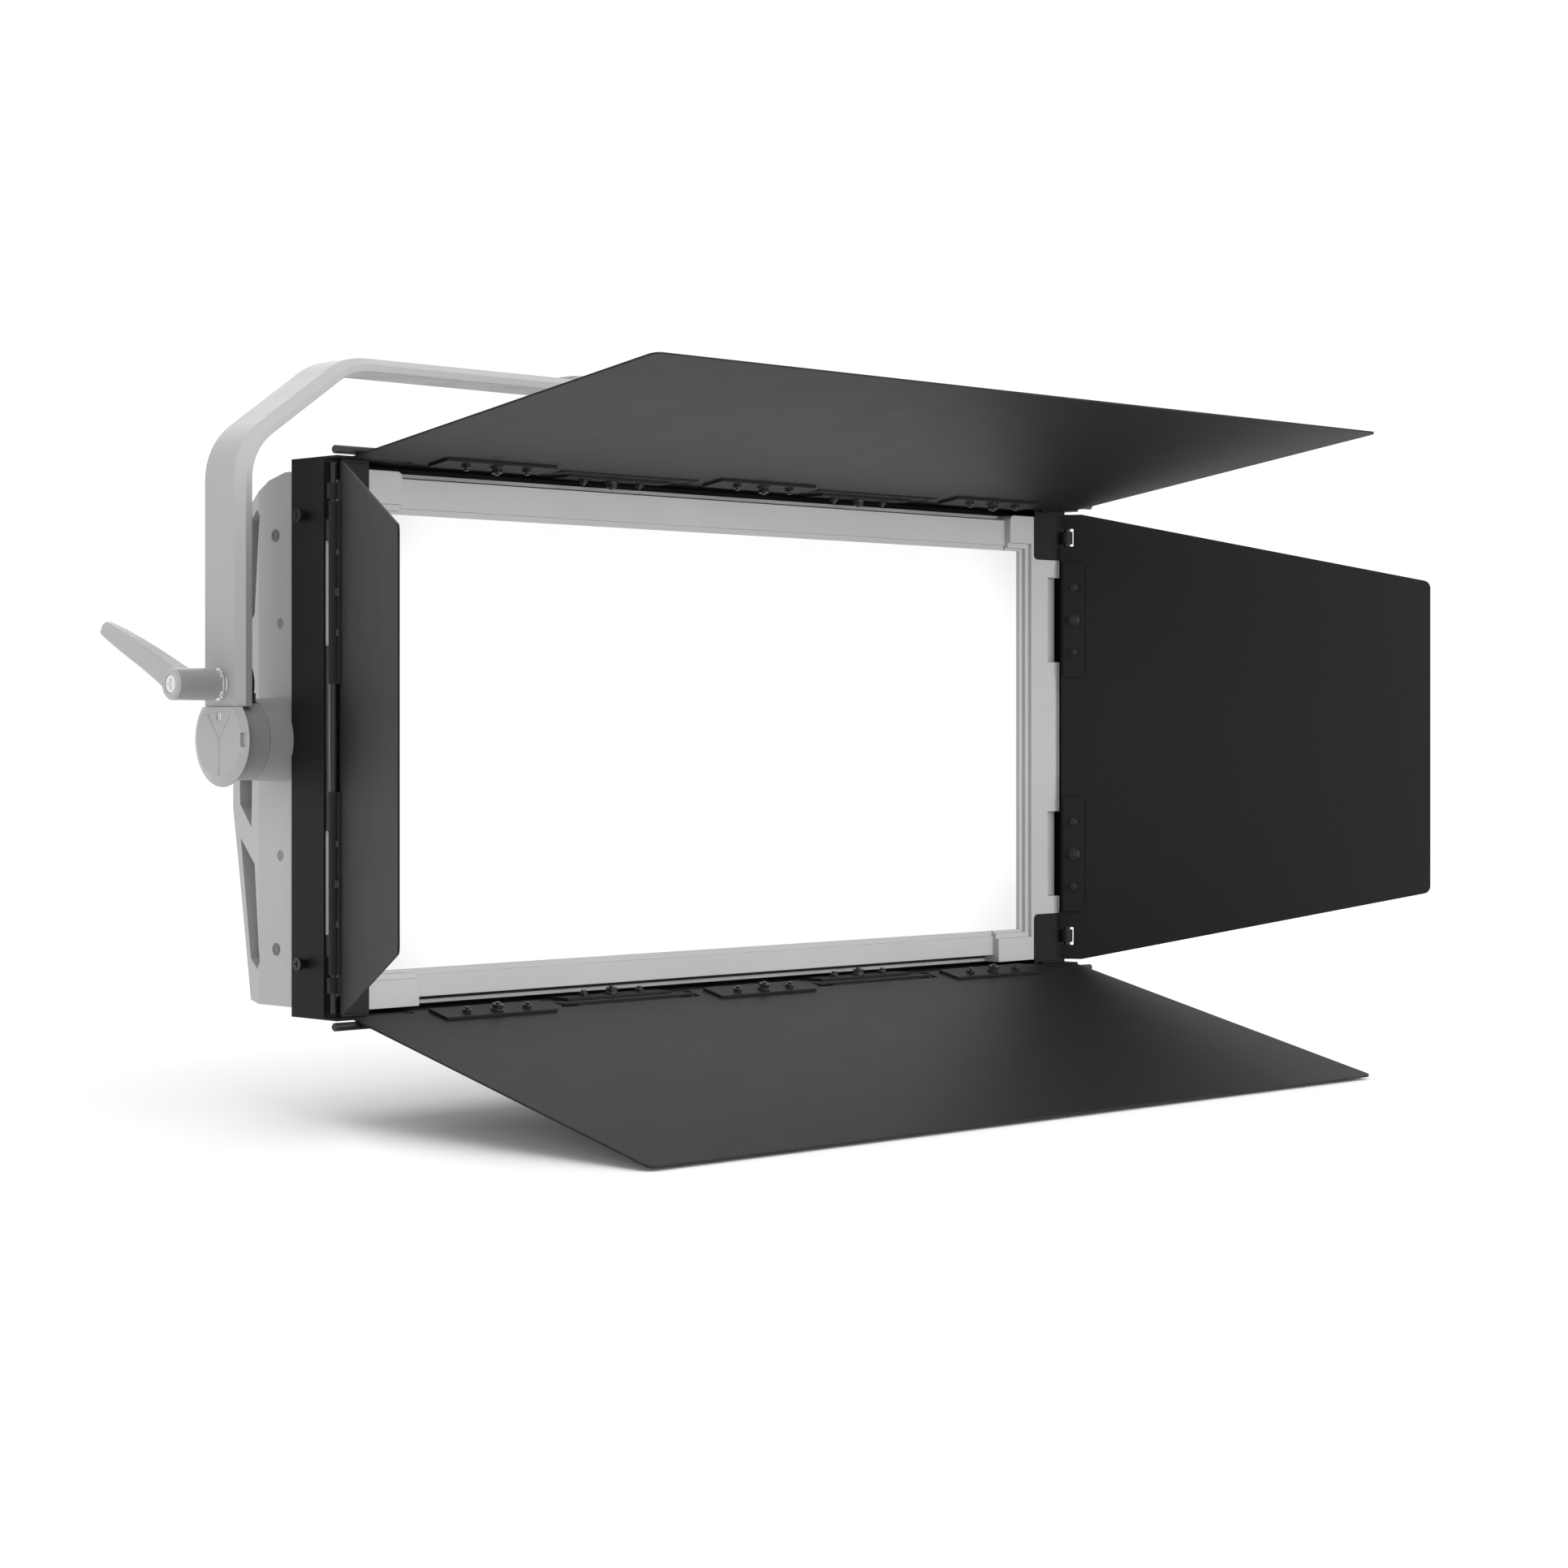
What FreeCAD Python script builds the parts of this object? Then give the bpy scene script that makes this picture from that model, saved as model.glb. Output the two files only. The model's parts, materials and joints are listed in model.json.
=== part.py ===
"""LED panel light with four barn doors, hung from a bent yoke.

Everything is laid out in the fixture frame: X to the right, Y backwards from the front edge of
the barn-door frame, Z up from the frame's centre.  The finished sub-parts are then shifted so that
the row's origin is the middle of the yoke's mounting plate, on its upper face.
"""
import FreeCAD, Part
import math
import os
import re

import Sketcher

Vector = FreeCAD.Vector
Rotation = FreeCAD.Rotation
Placement = FreeCAD.Placement

os.makedirs("parts", exist_ok=True)
doc = FreeCAD.newDocument("led_panel_light")

# ---------------------------------------------------------------------------------------------
# Driving dimensions, in millimetres and degrees
# ---------------------------------------------------------------------------------------------
DIMENSIONS = {
    # barn-door frame
    "frame_width": 736.5,
    "frame_height": 365.0,
    "frame_depth": 49.2,
    "frame_sheet": 1.5,
    "side_plate_front": 14.0,
    "gusset_width": 35.0,
    "gusset_height": 39.0,
    "gusset_sheet": 1.1,
    # pivot and mounting, measured from the frame's front centre
    "pivot_back": 76.0,
    "pivot_height": -1.0,
    "mount_height": 258.3,
    # yoke
    "yoke_width": 44.0,
    "yoke_thickness": 9.5,
    "yoke_half_span": 405.5,
    "yoke_top": 255.3,
    "shoulder_reach": 316.9,
    "shoulder_angle": 35.3,
    "lower_bend": 46.0,
    "upper_bend": 54.0,
    "yoke_chamfer_side": 6.6,
    "yoke_chamfer_face": 4.5,
    "plate_half_length": 112.0,
    "mount_hole_radius": 6.5,
    "side_hole_radius": 5.5,
    "side_hole_reach": 50.0,
    # pivots at the yoke's ends
    "eye_radius": 26.7,
    "eye_inner": 384.5,
    "eye_outer": 404.0,
    "eye_wall": 391.3,
    "bush_end": 401.0,
    "bush_radius": 13.0,
    "shaft_radius": 10.0,
    "running_gap": 0.05,
    "cap_radius": 31.0,
    "cap_thickness": 3.0,
    "cap_flat": 21.5,
    "boss_root_radius": 28.5,
    "body_gap": 0.3,
    # tilt brake and clamp lever
    "stud_rise": 36.0,
    "stud_radius": 5.0,
    "shoe_radius": 21.7,
    "shoe_thickness": 2.2,
    "disc_radius": 24.0,
    "disc_inner": 388.6,
    "disc_thickness": 2.4,
    "washer_radius": 10.5,
    "nut_across_flats": 16.0,
    "hub_radius": 10.5,
    "hub_inner": 411.6,
    "hub_outer": 444.5,
    "lever_reach": 76.0,
    "lever_angle": 29.0,
    # head
    "body_half_width": 357.0,
    "casting_thickness": 24.0,
    "body_half_height": 177.0,
    "shell_sheet": 2.5,
    "web_front": 62.0,
    "bezel_half_width": 363.0,
    "bezel_front": 15.0,
    "bezel_back": 30.0,
    "rail_front": 21.0,
    "opening_half_width": 320.6,
    "opening_half_height": 151.0,
    "opening_centre": -2.7,
    "top_arm_inner": 303.5,
    "bottom_arm_inner": 289.5,
    "diffuser_front": 24.0,
    "diffuser_thickness": 3.0,
    "fin_pitch": 12.0,
    "fin_thickness": 1.2,
    "sink_base": 4.0,
    "cover_half_width": 329.0,
    "cover_top": 47.0,
    "cover_bottom": -50.0,
    "cover_back": 146.0,
    "panel_thickness": 2.0,
    "panel_half_width": 150.0,
    # barn doors and their hinges
    "door_sheet": 1.2,
    "door_length": 291.1,
    "door_half_width": 358.3,
    "door_half_free": 359.6,
    "side_door_length": 291.4,
    "side_door_half_height": 178.5,
    "side_door_half_free": 120.0,
    "rod_radius": 2.75,
    "rod_gap": 0.05,
    "clamp_sheet": 1.2,
    "top_rod_height": 185.4,
    "top_rod_forward": 6.6,
    "side_rod_reach": 364.0,
    "side_rod_back": 8.0,
    "clamp_pitch": 124.0,
    "clamp_plate_length": 95.0,
    "clamp_plate_thickness": 2.0,
    "top_door_angle": 8.41,
    "bottom_door_angle": 13.46,
    "left_door_angle": 59.67,
    "right_door_angle": 65.25,
}

sheet = doc.addObject("Spreadsheet::Sheet", "dims")
for row, (alias, number) in enumerate(DIMENSIONS.items(), start=1):
    sheet.set(f"A{row}", alias)
    sheet.set(f"B{row}", str(number))
    sheet.setAlias(f"B{row}", alias)
doc.recompute()

FUNCTIONS = {"tan", "cos", "sin", "sqrt", "deg"}


def formula(text):
    """Turn 'frame_width/2' into an expression that reads the sheet's cells."""
    text = str(text)
    return re.sub(
        r"[A-Za-z_]\w*",
        lambda word: word.group() if word.group() in FUNCTIONS else "dims." + word.group(),
        text,
    )


def number_of(text):
    """The present value of a formula."""
    value = sheet.evalExpression(formula(text))
    return float(getattr(value, "Value", value))


def bind(target, attribute, text):
    target.setExpression(attribute, formula(text))


# ---------------------------------------------------------------------------------------------
# Primitives and booleans
# ---------------------------------------------------------------------------------------------
AXIS_TURN = {
    "x": Rotation(Vector(0, 1, 0), 90),
    "y": Rotation(Vector(1, 0, 0), -90),
    "z": Rotation(),
}


def box(name, x_range, y_range, z_range):
    """A block between two formulas on each axis."""
    block = doc.addObject("Part::Box", name)
    for size, base, (low, high) in zip(
        ("Length", "Width", "Height"), "xyz", (x_range, y_range, z_range)
    ):
        bind(block, size, f"({high}) - ({low})")
        bind(block, f"Placement.Base.{base}", low)
    return block


def cylinder(name, axis, base, radius, length):
    """A cylinder that runs from its base point along +axis."""
    rod = doc.addObject("Part::Cylinder", name)
    rod.Placement = Placement(Vector(), AXIS_TURN[axis])
    for letter, text in zip("xyz", base):
        bind(rod, f"Placement.Base.{letter}", text)
    bind(rod, "Radius", radius)
    bind(rod, "Height", length)
    return rod


def cone(name, axis, base, radius, end_radius, length):
    frustum = doc.addObject("Part::Cone", name)
    frustum.Placement = Placement(Vector(), AXIS_TURN[axis])
    for letter, text in zip("xyz", base):
        bind(frustum, f"Placement.Base.{letter}", text)
    bind(frustum, "Radius1", radius)
    bind(frustum, "Radius2", end_radius)
    bind(frustum, "Height", length)
    return frustum


def hexagon(name, axis, base, across_flats, length):
    prism = doc.addObject("Part::Prism", name)
    prism.Polygon = 6
    prism.Placement = Placement(Vector(), AXIS_TURN[axis])
    for letter, text in zip("xyz", base):
        bind(prism, f"Placement.Base.{letter}", text)
    bind(prism, "Circumradius", f"({across_flats})/sqrt(3)")
    bind(prism, "Height", length)
    return prism


def fuse(name, *pieces):
    union = doc.addObject("Part::MultiFuse", name)
    union.Shapes = list(pieces)
    union.Refine = True
    return union


def group(name, *pieces):
    """Separate solids kept side by side."""
    bundle = doc.addObject("Part::Compound", name)
    bundle.Links = list(pieces)
    return bundle


def cut(name, base, *tools):
    difference = doc.addObject("Part::Cut", name)
    difference.Base = base
    difference.Tool = tools[0] if len(tools) == 1 else fuse(name + "_tools", *tools)
    return difference


def common(name, first, second):
    overlap = doc.addObject("Part::Common", name)
    overlap.Base = first
    overlap.Tool = second
    return overlap


def mirror(name, piece, normal=(1, 0, 0)):
    image = doc.addObject("Part::Mirroring", name)
    image.Source = piece
    image.Normal = Vector(*normal)
    image.Base = Vector()
    return image


# ---------------------------------------------------------------------------------------------
# Sketched bodies
# ---------------------------------------------------------------------------------------------
def new_sketch(body, plane_role, offset="0"):
    """A sketch on one of the body's origin planes, moved along its normal."""
    plane = next(f for f in body.Origin.OriginFeatures if f.Role == plane_role)
    sketch = body.newObject("Sketcher::SketchObject", "Sketch")
    sketch.AttachmentSupport = [(plane, "")]
    sketch.MapMode = "FlatFace"
    bind(sketch, "AttachmentOffset.Base.z", offset)
    return sketch


def add_outline(sketch, points):
    """A closed polygon whose corners are pairs of formulas."""
    corners = [Vector(number_of(a), number_of(b), 0) for a, b in points]
    count = len(points)
    first = sketch.GeometryCount
    for index, corner in enumerate(corners):
        sketch.addGeometry(Part.LineSegment(corner, corners[(index + 1) % count]))
    for index, (across, up) in enumerate(points):
        line = first + index
        following = first + (index + 1) % count
        sketch.addConstraint(Sketcher.Constraint("Coincident", line, 2, following, 1))
        for kind, text, number in (("DistanceX", across, corners[index].x),
                                   ("DistanceY", up, corners[index].y)):
            place = sketch.addConstraint(Sketcher.Constraint(kind, line, 1, number))
            bind(sketch, f"Constraints[{place}]", text)


def rectangle(low_a, high_a, low_b, high_b):
    return [(low_a, low_b), (high_a, low_b), (high_a, high_b), (low_a, high_b)]


def pad(body, sketch, length, backwards=False, both_ways=False):
    feature = body.newObject("PartDesign::Pad", "Pad")
    feature.Profile = sketch
    bind(feature, "Length", length)
    feature.Reversed = backwards
    feature.Midplane = both_ways
    body.Tip = feature
    return feature


def pocket(body, sketch, depth, backwards=False):
    """A pocket that is checked to remove material."""
    doc.recompute()
    before = body.Shape.Volume
    feature = body.newObject("PartDesign::Pocket", "Pocket")
    feature.Profile = sketch
    bind(feature, "Length", depth)
    feature.Reversed = backwards
    body.Tip = feature
    doc.recompute()
    if body.Shape.Volume > before - 1:
        raise RuntimeError(f"{body.Name}: a pocket cuts nothing")
    return feature


def extruded(name, plane_role, offset, points, length, backwards=False, both_ways=False):
    """A PartDesign body made by padding one closed outline."""
    body = doc.addObject("PartDesign::Body", name)
    sketch = new_sketch(body, plane_role, offset)
    add_outline(sketch, points)
    pad(body, sketch, length, backwards, both_ways)
    return body


def round_edges(body, radius, chosen):
    """Fillet the tip's edges that 'chosen' accepts, given each edge's middle and direction."""
    doc.recompute()
    names = []
    for index, edge in enumerate(body.Tip.Shape.Edges, start=1):
        middle = edge.valueAt((edge.FirstParameter + edge.LastParameter) / 2)
        along = (edge.valueAt(edge.LastParameter) - edge.valueAt(edge.FirstParameter))
        if along.Length > 0 and chosen(middle, along.normalize()):
            names.append(f"Edge{index}")
    base = body.Tip
    feature = body.newObject("PartDesign::Fillet", "Fillet")
    feature.Base = (base, names)
    bind(feature, "Radius", radius)
    body.Tip = feature
    return feature


# ---------------------------------------------------------------------------------------------
# Finished sub-parts
# ---------------------------------------------------------------------------------------------
ROW_SHIFT = Vector(0, -number_of("pivot_back"), -number_of("mount_height"))
finished = []


def finish(piece, label, at=None):
    """Name a sub-part and move it from its own frame into the row's frame."""
    if piece.TypeId == "Part::Box":
        # a box keeps its bound position inside a group of one
        piece = group(label + "_piece", piece)
    piece.Label = label
    spot = at or Placement()
    piece.Placement = Placement(ROW_SHIFT, Rotation()).multiply(spot)
    finished.append(piece)
    return piece


PIVOT = ("pivot_back", "pivot_height")
STUD = ("pivot_back", "pivot_height + stud_rise")


def along_x(name, centre, radius, start, end):
    """A cylinder along X between two formulas, centred on a (y, z) pair."""
    return cylinder(name, "x", (start, *centre), radius, f"({end}) - ({start})")


# ---------------------------------------------------------------------------------------------
# Yoke
# ---------------------------------------------------------------------------------------------
def build_yoke_bar():
    rise = "(yoke_half_span - shoulder_reach)*tan(shoulder_angle*1deg)"
    inner_top = "yoke_top - yoke_thickness"
    inner_side = "yoke_half_span - yoke_thickness"
    inner_reach = "shoulder_reach - yoke_thickness*tan(shoulder_angle/2*1deg)"
    inner_shoulder = f"yoke_top - {rise} - yoke_thickness*tan((90 - shoulder_angle)/2*1deg)"
    arm_foot = "pivot_height + cap_flat"
    right_side = [
        ("yoke_half_span", arm_foot),
        ("yoke_half_span", f"yoke_top - {rise}"),
        ("shoulder_reach", "yoke_top"),
    ]
    right_inside = [
        (inner_reach, inner_top),
        (inner_side, inner_shoulder),
        (inner_side, arm_foot),
    ]
    left_side = [(f"-({a})", b) for a, b in reversed(right_side)]
    left_inside = [(f"-({a})", b) for a, b in reversed(right_inside)]

    body = doc.addObject("PartDesign::Body", "yoke_bend")
    sketch = new_sketch(body, "XZ_Plane", "-pivot_back")
    add_outline(sketch, right_side + left_side + left_inside + right_inside)
    pad(body, sketch, "yoke_width", both_ways=True)

    reach = number_of("shoulder_reach") - number_of("yoke_thickness")
    shoulder = number_of(inner_shoulder) - 1
    outer_span = number_of("yoke_half_span")
    middle_y = number_of("pivot_back")

    def bend(low_reach, high_reach):
        def chosen(middle, along):
            return (abs(along.y) > 0.99 and low_reach < abs(middle.x) < high_reach
                    and shoulder < middle.z)
        return chosen

    round_edges(body, "upper_bend", bend(reach + 9, reach + 10))
    round_edges(body, "upper_bend - yoke_thickness", bend(reach + 5, reach + 8))
    round_edges(body, "lower_bend", bend(outer_span - 0.5, outer_span + 0.5))
    inner_span = number_of(inner_side)
    round_edges(body, "lower_bend - yoke_thickness", bend(inner_span - 0.5, inner_span + 0.5))

    doc.recompute()
    chain = []
    for index, edge in enumerate(body.Tip.Shape.Edges, start=1):
        middle = edge.valueAt((edge.FirstParameter + edge.LastParameter) / 2)
        on_side = abs(abs(middle.y - middle_y) - number_of("yoke_width") / 2) < 0.01
        if on_side and abs(middle.x) > outer_span - 0.01 and abs(middle.z - 100) < 30:
            chain.append(f"Edge{index}")
    bent_bar = body.Tip
    chamfer = body.newObject("PartDesign::Chamfer", "OuterChamfer")
    chamfer.Base = (bent_bar, chain)
    chamfer.ChamferType = "Two distances"
    bind(chamfer, "Size", "yoke_chamfer_side")
    bind(chamfer, "Size2", "yoke_chamfer_face")
    body.Tip = chamfer
    doc.recompute()

    eyes = [
        along_x("left_eye", PIVOT, "eye_radius", "-eye_outer", "-eye_inner"),
        along_x("right_eye", PIVOT, "eye_radius", "eye_inner", "eye_outer"),
    ]
    above_eye = "pivot_height + cap_flat - 8"
    tools = [
        # bush bores, and recesses for the shaft nuts
        along_x("left_bore", PIVOT, "bush_radius", "-bush_end", "-eye_inner + 1"),
        along_x("right_bore", PIVOT, "bush_radius", "eye_inner - 1", "bush_end"),
        along_x("left_recess", PIVOT, "bush_radius + 3", "-eye_outer - 1", "-bush_end"),
        along_x("right_recess", PIVOT, "bush_radius + 3", "bush_end", "eye_outer + 1"),
        # seat of the friction disc, and the slot for the brake shoe's lip
        along_x("disc_seat", PIVOT, "disc_radius + 0.6", "-eye_wall", "-eye_inner + 1"),
        box("shoe_slot", ("-eye_wall", "-eye_inner + 1"),
            ("pivot_back - 12.3", "pivot_back + 12.3"), (above_eye, "pivot_height + 30")),
        # the stud's hole
        along_x("stud_hole", STUD, "stud_radius + 0.5", "-yoke_half_span - 1", "-eye_inner"),
        # mounting holes
        cylinder("mount_hole", "z", ("0", "pivot_back", "yoke_top - 20"),
                 "mount_hole_radius", "30"),
        cylinder("left_mount_hole", "z", ("-side_hole_reach", "pivot_back", "yoke_top - 20"),
                 "side_hole_radius", "30"),
        cylinder("right_mount_hole", "z", ("side_hole_reach", "pivot_back", "yoke_top - 20"),
                 "side_hole_radius", "30"),
    ]
    finish(cut("yoke_bar_shape", fuse("yoke_with_eyes", body, *eyes), *tools), "yoke_bar")


def build_mount_plate():
    blank = extruded(
        "mount_plate_blank", "XY_Plane", "yoke_top",
        rectangle("-plate_half_length", "plate_half_length",
                  "pivot_back - yoke_width/2 + yoke_chamfer_side",
                  "pivot_back + yoke_width/2 - yoke_chamfer_side"),
        "mount_height - yoke_top")
    round_edges(blank, "6", lambda middle, along: abs(along.z) > 0.99)
    holes = [
        cylinder(f"plate_hole_{index}", "z", (reach, "pivot_back", "yoke_top - 1"), radius, "10")
        for index, (reach, radius) in enumerate((
            ("-side_hole_reach", "side_hole_radius"),
            ("0", "mount_hole_radius"),
            ("side_hole_reach", "side_hole_radius")))
    ]
    finish(cut("mount_plate_shape", blank, *holes), "mount_plate")


def build_pivot_bushes():
    left = cut("left_bush",
               along_x("left_bush_wall", PIVOT, "bush_radius", "-bush_end + 0.1", "-eye_wall"),
               along_x("left_bush_hole", PIVOT, "shaft_radius + running_gap",
                       "-eye_outer", "-eye_inner"))
    finish(group("bush_pair", left, mirror("right_bush", left)), "pivot_bushes")


def build_end_cap(side, sign):
    """D-shaped cover over the end of a pivot, flat where the yoke's arm stands on it."""
    disc = cone(f"{side}_cap_disc", "x",
                ("-eye_outer - cap_thickness", *PIVOT), "cap_radius - 6", "cap_radius",
                "cap_thickness")
    above = box(f"{side}_cap_cut", ("-eye_outer - 10", "-eye_outer + 10"),
                ("pivot_back - 50", "pivot_back + 50"),
                ("pivot_height + cap_flat - 0.1", "pivot_height + 60"))
    screw_hole = along_x(f"{side}_cap_hole", ("pivot_back", "pivot_height + 15"), "2.7",
                         "-eye_outer - 6", "-eye_outer + 1")
    notch = box(f"{side}_cap_notch", ("-eye_outer - 10", "-eye_outer - 0.8"),
                ("pivot_back - 33", "pivot_back - 24.5"),
                ("pivot_height - 4.5", "pivot_height + 4.5"))
    shape = cut(f"{side}_cap_shape", disc, above, screw_hole, notch)
    if sign > 0:
        shape = mirror(f"{side}_cap_mirrored", shape)
    finish(shape, f"end_cap_{side}")


def build_end_cap_screws():
    head = along_x("cap_screw_head", ("pivot_back", "pivot_height + 15"), "2.6",
                   "-eye_outer - cap_thickness + 0.6", "-eye_outer")
    slot_a = box("cap_screw_slot_a", ("-eye_outer - 5", "-eye_outer - 1.4"),
                 ("pivot_back - 1.8", "pivot_back + 1.8"),
                 ("pivot_height + 14.6", "pivot_height + 15.4"))
    slot_b = box("cap_screw_slot_b", ("-eye_outer - 5", "-eye_outer - 1.4"),
                 ("pivot_back - 0.4", "pivot_back + 0.4"),
                 ("pivot_height + 13.2", "pivot_height + 16.8"))
    left = cut("left_cap_screw", head, slot_a, slot_b)
    finish(group("cap_screw_pair", left, mirror("right_cap_screw", left)), "end_cap_screws")


def build_brake():
    washer = cut("washer_shape",
                 along_x("washer_disc", STUD, "washer_radius",
                         "-yoke_half_span - 2", "-yoke_half_span"),
                 along_x("washer_hole", STUD, "stud_radius + 0.5",
                         "-yoke_half_span - 5", "-yoke_half_span + 5"))
    finish(washer, "clamp_washer")

    arm_face = "-(yoke_half_span - yoke_thickness)"
    clear_of_eye = "eye_radius + 0.5"
    disc = cut("shoe_disc_trimmed",
               along_x("shoe_disc", STUD, "shoe_radius", arm_face,
                       f"{arm_face} + shoe_thickness"),
               along_x("shoe_trim", PIVOT, clear_of_eye, f"{arm_face} - 5",
                       f"{arm_face} + 10"))
    block = box("shoe_block", (f"{arm_face} + shoe_thickness", "-385.5"),
                ("pivot_back - 11", "pivot_back + 11"),
                (f"pivot_height + {clear_of_eye}", "pivot_height + 30.5"))
    lip = box("shoe_lip", ("-disc_inner + 0.4", "-385.5"),
              ("pivot_back - 11", "pivot_back + 11"),
              ("pivot_height + 16", "pivot_height + 28"))
    shoe = cut("shoe_shape", fuse("shoe_blank", disc, block, lip),
               along_x("shoe_hole", STUD, "stud_radius + running_gap", "-400", "-380"))
    finish(shoe, "brake_shoe")


def build_lever():
    hub = fuse("lever_hub",
               along_x("hub_barrel", STUD, "hub_radius", "-hub_outer + 1.5", "-hub_inner"),
               cone("hub_end", "x", ("-hub_outer", *STUD), "hub_radius - 1.5", "hub_radius",
                    "1.5"))
    arm = doc.addObject("PartDesign::Body", "lever_arm")
    # Sections across the handle, from the hub outwards: distance, width, thickness, lean
    sections = (
        ("2", "9.2", "7.6", "0"),
        ("lever_reach*0.45", "7.6", "6.4", "4"),
        ("lever_reach*0.8", "6.4", "5.4", "10"),
        ("lever_reach", "5.2", "4.2", "14"),
    )
    outlines = []
    for distance, half_width, half_thick, lean in sections:
        sketch = new_sketch(arm, "XY_Plane", distance)
        middle = f"-(hub_outer - 9.5) - {lean}"
        bevel = "2.2"
        add_outline(sketch, [
            (f"{middle} - {half_thick} + {bevel}", f"-{half_width}"),
            (f"{middle} + {half_thick} - {bevel}", f"-{half_width}"),
            (f"{middle} + {half_thick}", f"-{half_width} + {bevel}"),
            (f"{middle} + {half_thick}", f"{half_width} - {bevel}"),
            (f"{middle} + {half_thick} - {bevel}", half_width),
            (f"{middle} - {half_thick} + {bevel}", half_width),
            (f"{middle} - {half_thick}", f"{half_width} - {bevel}"),
            (f"{middle} - {half_thick}", f"-{half_width} + {bevel}"),
        ])
        outlines.append(sketch)
    loft = arm.newObject("PartDesign::AdditiveLoft", "Loft")
    loft.Profile = outlines[0]
    loft.Sections = outlines[1:]
    loft.Ruled = False
    arm.Tip = loft
    # The handle is drawn straight up from the stud's axis, then leans back
    lean_back = 90 - number_of("lever_angle")
    arm.Placement = Placement(
        Vector(0, number_of(STUD[0]), number_of(STUD[1])), Rotation(Vector(1, 0, 0), -lean_back))
    screw_seat = along_x("lever_screw_seat", STUD, "5.9", "-hub_outer - 1", "-hub_outer + 2.4")
    stud_bore = along_x("lever_bore", STUD, "stud_radius", "-hub_outer + 8", "-hub_inner + 1")
    finish(cut("lever_shape", fuse("lever_blank", hub, arm), screw_seat, stud_bore),
           "clamp_lever")

    stud = fuse("stud_shape",
                along_x("stud_rod", STUD, "stud_radius", "-hub_outer + 8", "-388"),
                hexagon("stud_hexagon", "x", ("-hub_inner", *STUD), "nut_across_flats",
                        "hub_inner - yoke_half_span - 2.3"))
    finish(stud, "clamp_stud")

    head = along_x("lever_screw_head", STUD, "5.75", "-hub_outer + 0.4", "-hub_outer + 2.4")
    cross = [
        box("lever_slot_a", ("-hub_outer - 1", "-hub_outer + 1.4"),
            ("pivot_back - 3.6", "pivot_back + 3.6"),
            ("pivot_height + stud_rise - 0.7", "pivot_height + stud_rise + 0.7")),
        box("lever_slot_b", ("-hub_outer - 1", "-hub_outer + 1.4"),
            ("pivot_back - 0.7", "pivot_back + 0.7"),
            ("pivot_height + stud_rise - 3.6", "pivot_height + stud_rise + 3.6")),
    ]
    finish(cut("lever_screw_shape", head, *cross), "lever_screw")


# ---------------------------------------------------------------------------------------------
# Head
# ---------------------------------------------------------------------------------------------
# Side outline of the head behind the bezel, as (y, z)
BODY_TOP = "pivot_height + body_half_height"
BODY_BOTTOM = "pivot_height - body_half_height"
SIDE_OUTLINE = [
    ("bezel_back", BODY_TOP),
    ("72", BODY_TOP),
    ("90", f"{BODY_TOP} - 4.5"),
    ("116", f"{BODY_TOP} - 19"),
    ("128", f"{BODY_TOP} - 36"),
    ("148", "40"),
    ("148", "-48"),
    ("138", "-86"),
    ("116", f"{BODY_BOTTOM} + 2"),
    ("103", BODY_BOTTOM),
    ("bezel_back", BODY_BOTTOM),
]
# Recesses in the side castings, as (y, z) below the pivot; the ones above mirror them
LOWER_WINDOWS = [
    [("113", "-28"), ("136", "-28"), ("135", "-45"), ("115", "-60")],
    [("134", "-68"), ("116", "-148"), ("104", "-155"), ("100.5", "-150"), ("109", "-85")],
]


def build_side_castings():
    body = doc.addObject("PartDesign::Body", "side_casting_blank")
    sketch = new_sketch(body, "YZ_Plane", "-body_half_width")
    add_outline(sketch, SIDE_OUTLINE)
    pad(body, sketch, "casting_thickness")

    # the rear wing slopes inwards from a crease
    slope = new_sketch(body, "XY_Plane", "0")
    add_outline(slope, [
        ("-body_half_width - 1", "97.7"),
        ("-body_half_width + 12", "149"),
        ("-body_half_width - 1", "149"),
    ])
    wing = pocket(body, slope, "2*body_half_height + 20")
    wing.Midplane = True

    for window in LOWER_WINDOWS:
        recess = new_sketch(body, "YZ_Plane", "-body_half_width")
        add_outline(recess, window)
        pocket(body, recess, "18", backwards=True)
        mirrored = [(y, f"2*pivot_height - ({z})") for y, z in window]
        recess = new_sketch(body, "YZ_Plane", "-body_half_width")
        add_outline(recess, mirrored)
        pocket(body, recess, "18", backwards=True)

    boss = cone("pivot_boss", "x", ("-eye_inner + body_gap", *PIVOT), "eye_radius",
                "boss_root_radius", "eye_inner - body_gap - body_half_width + 8")
    tools = [along_x("shaft_seat", PIVOT, "shaft_radius", "-eye_inner", "-335")]
    for spot in ("76", "-78"):
        tools.append(along_x(f"screw_seat_{spot}", ("77", spot), "3.5",
                             "-body_half_width - 1", "-body_half_width + 2"))
    for spot in ("145", "-147"):
        tools.append(along_x(f"frame_screw_hole_{spot}", ("34", spot), "2.5",
                             "-body_half_width - 1", "-340"))
    left = cut("left_casting_shape", fuse("left_casting_blank", body, boss), *tools)
    finish(left, "side_casting_left")
    # A mirror image of the unplaced casting makes the right one
    finish(mirror("right_casting_shape", copy_unplaced(left)), "side_casting_right")


def copy_unplaced(piece):
    """The same cut again without the row shift, for mirroring."""
    twin = doc.addObject("Part::Cut", piece.Name + "_twin")
    twin.Base = piece.Base
    twin.Tool = piece.Tool
    return twin


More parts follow.
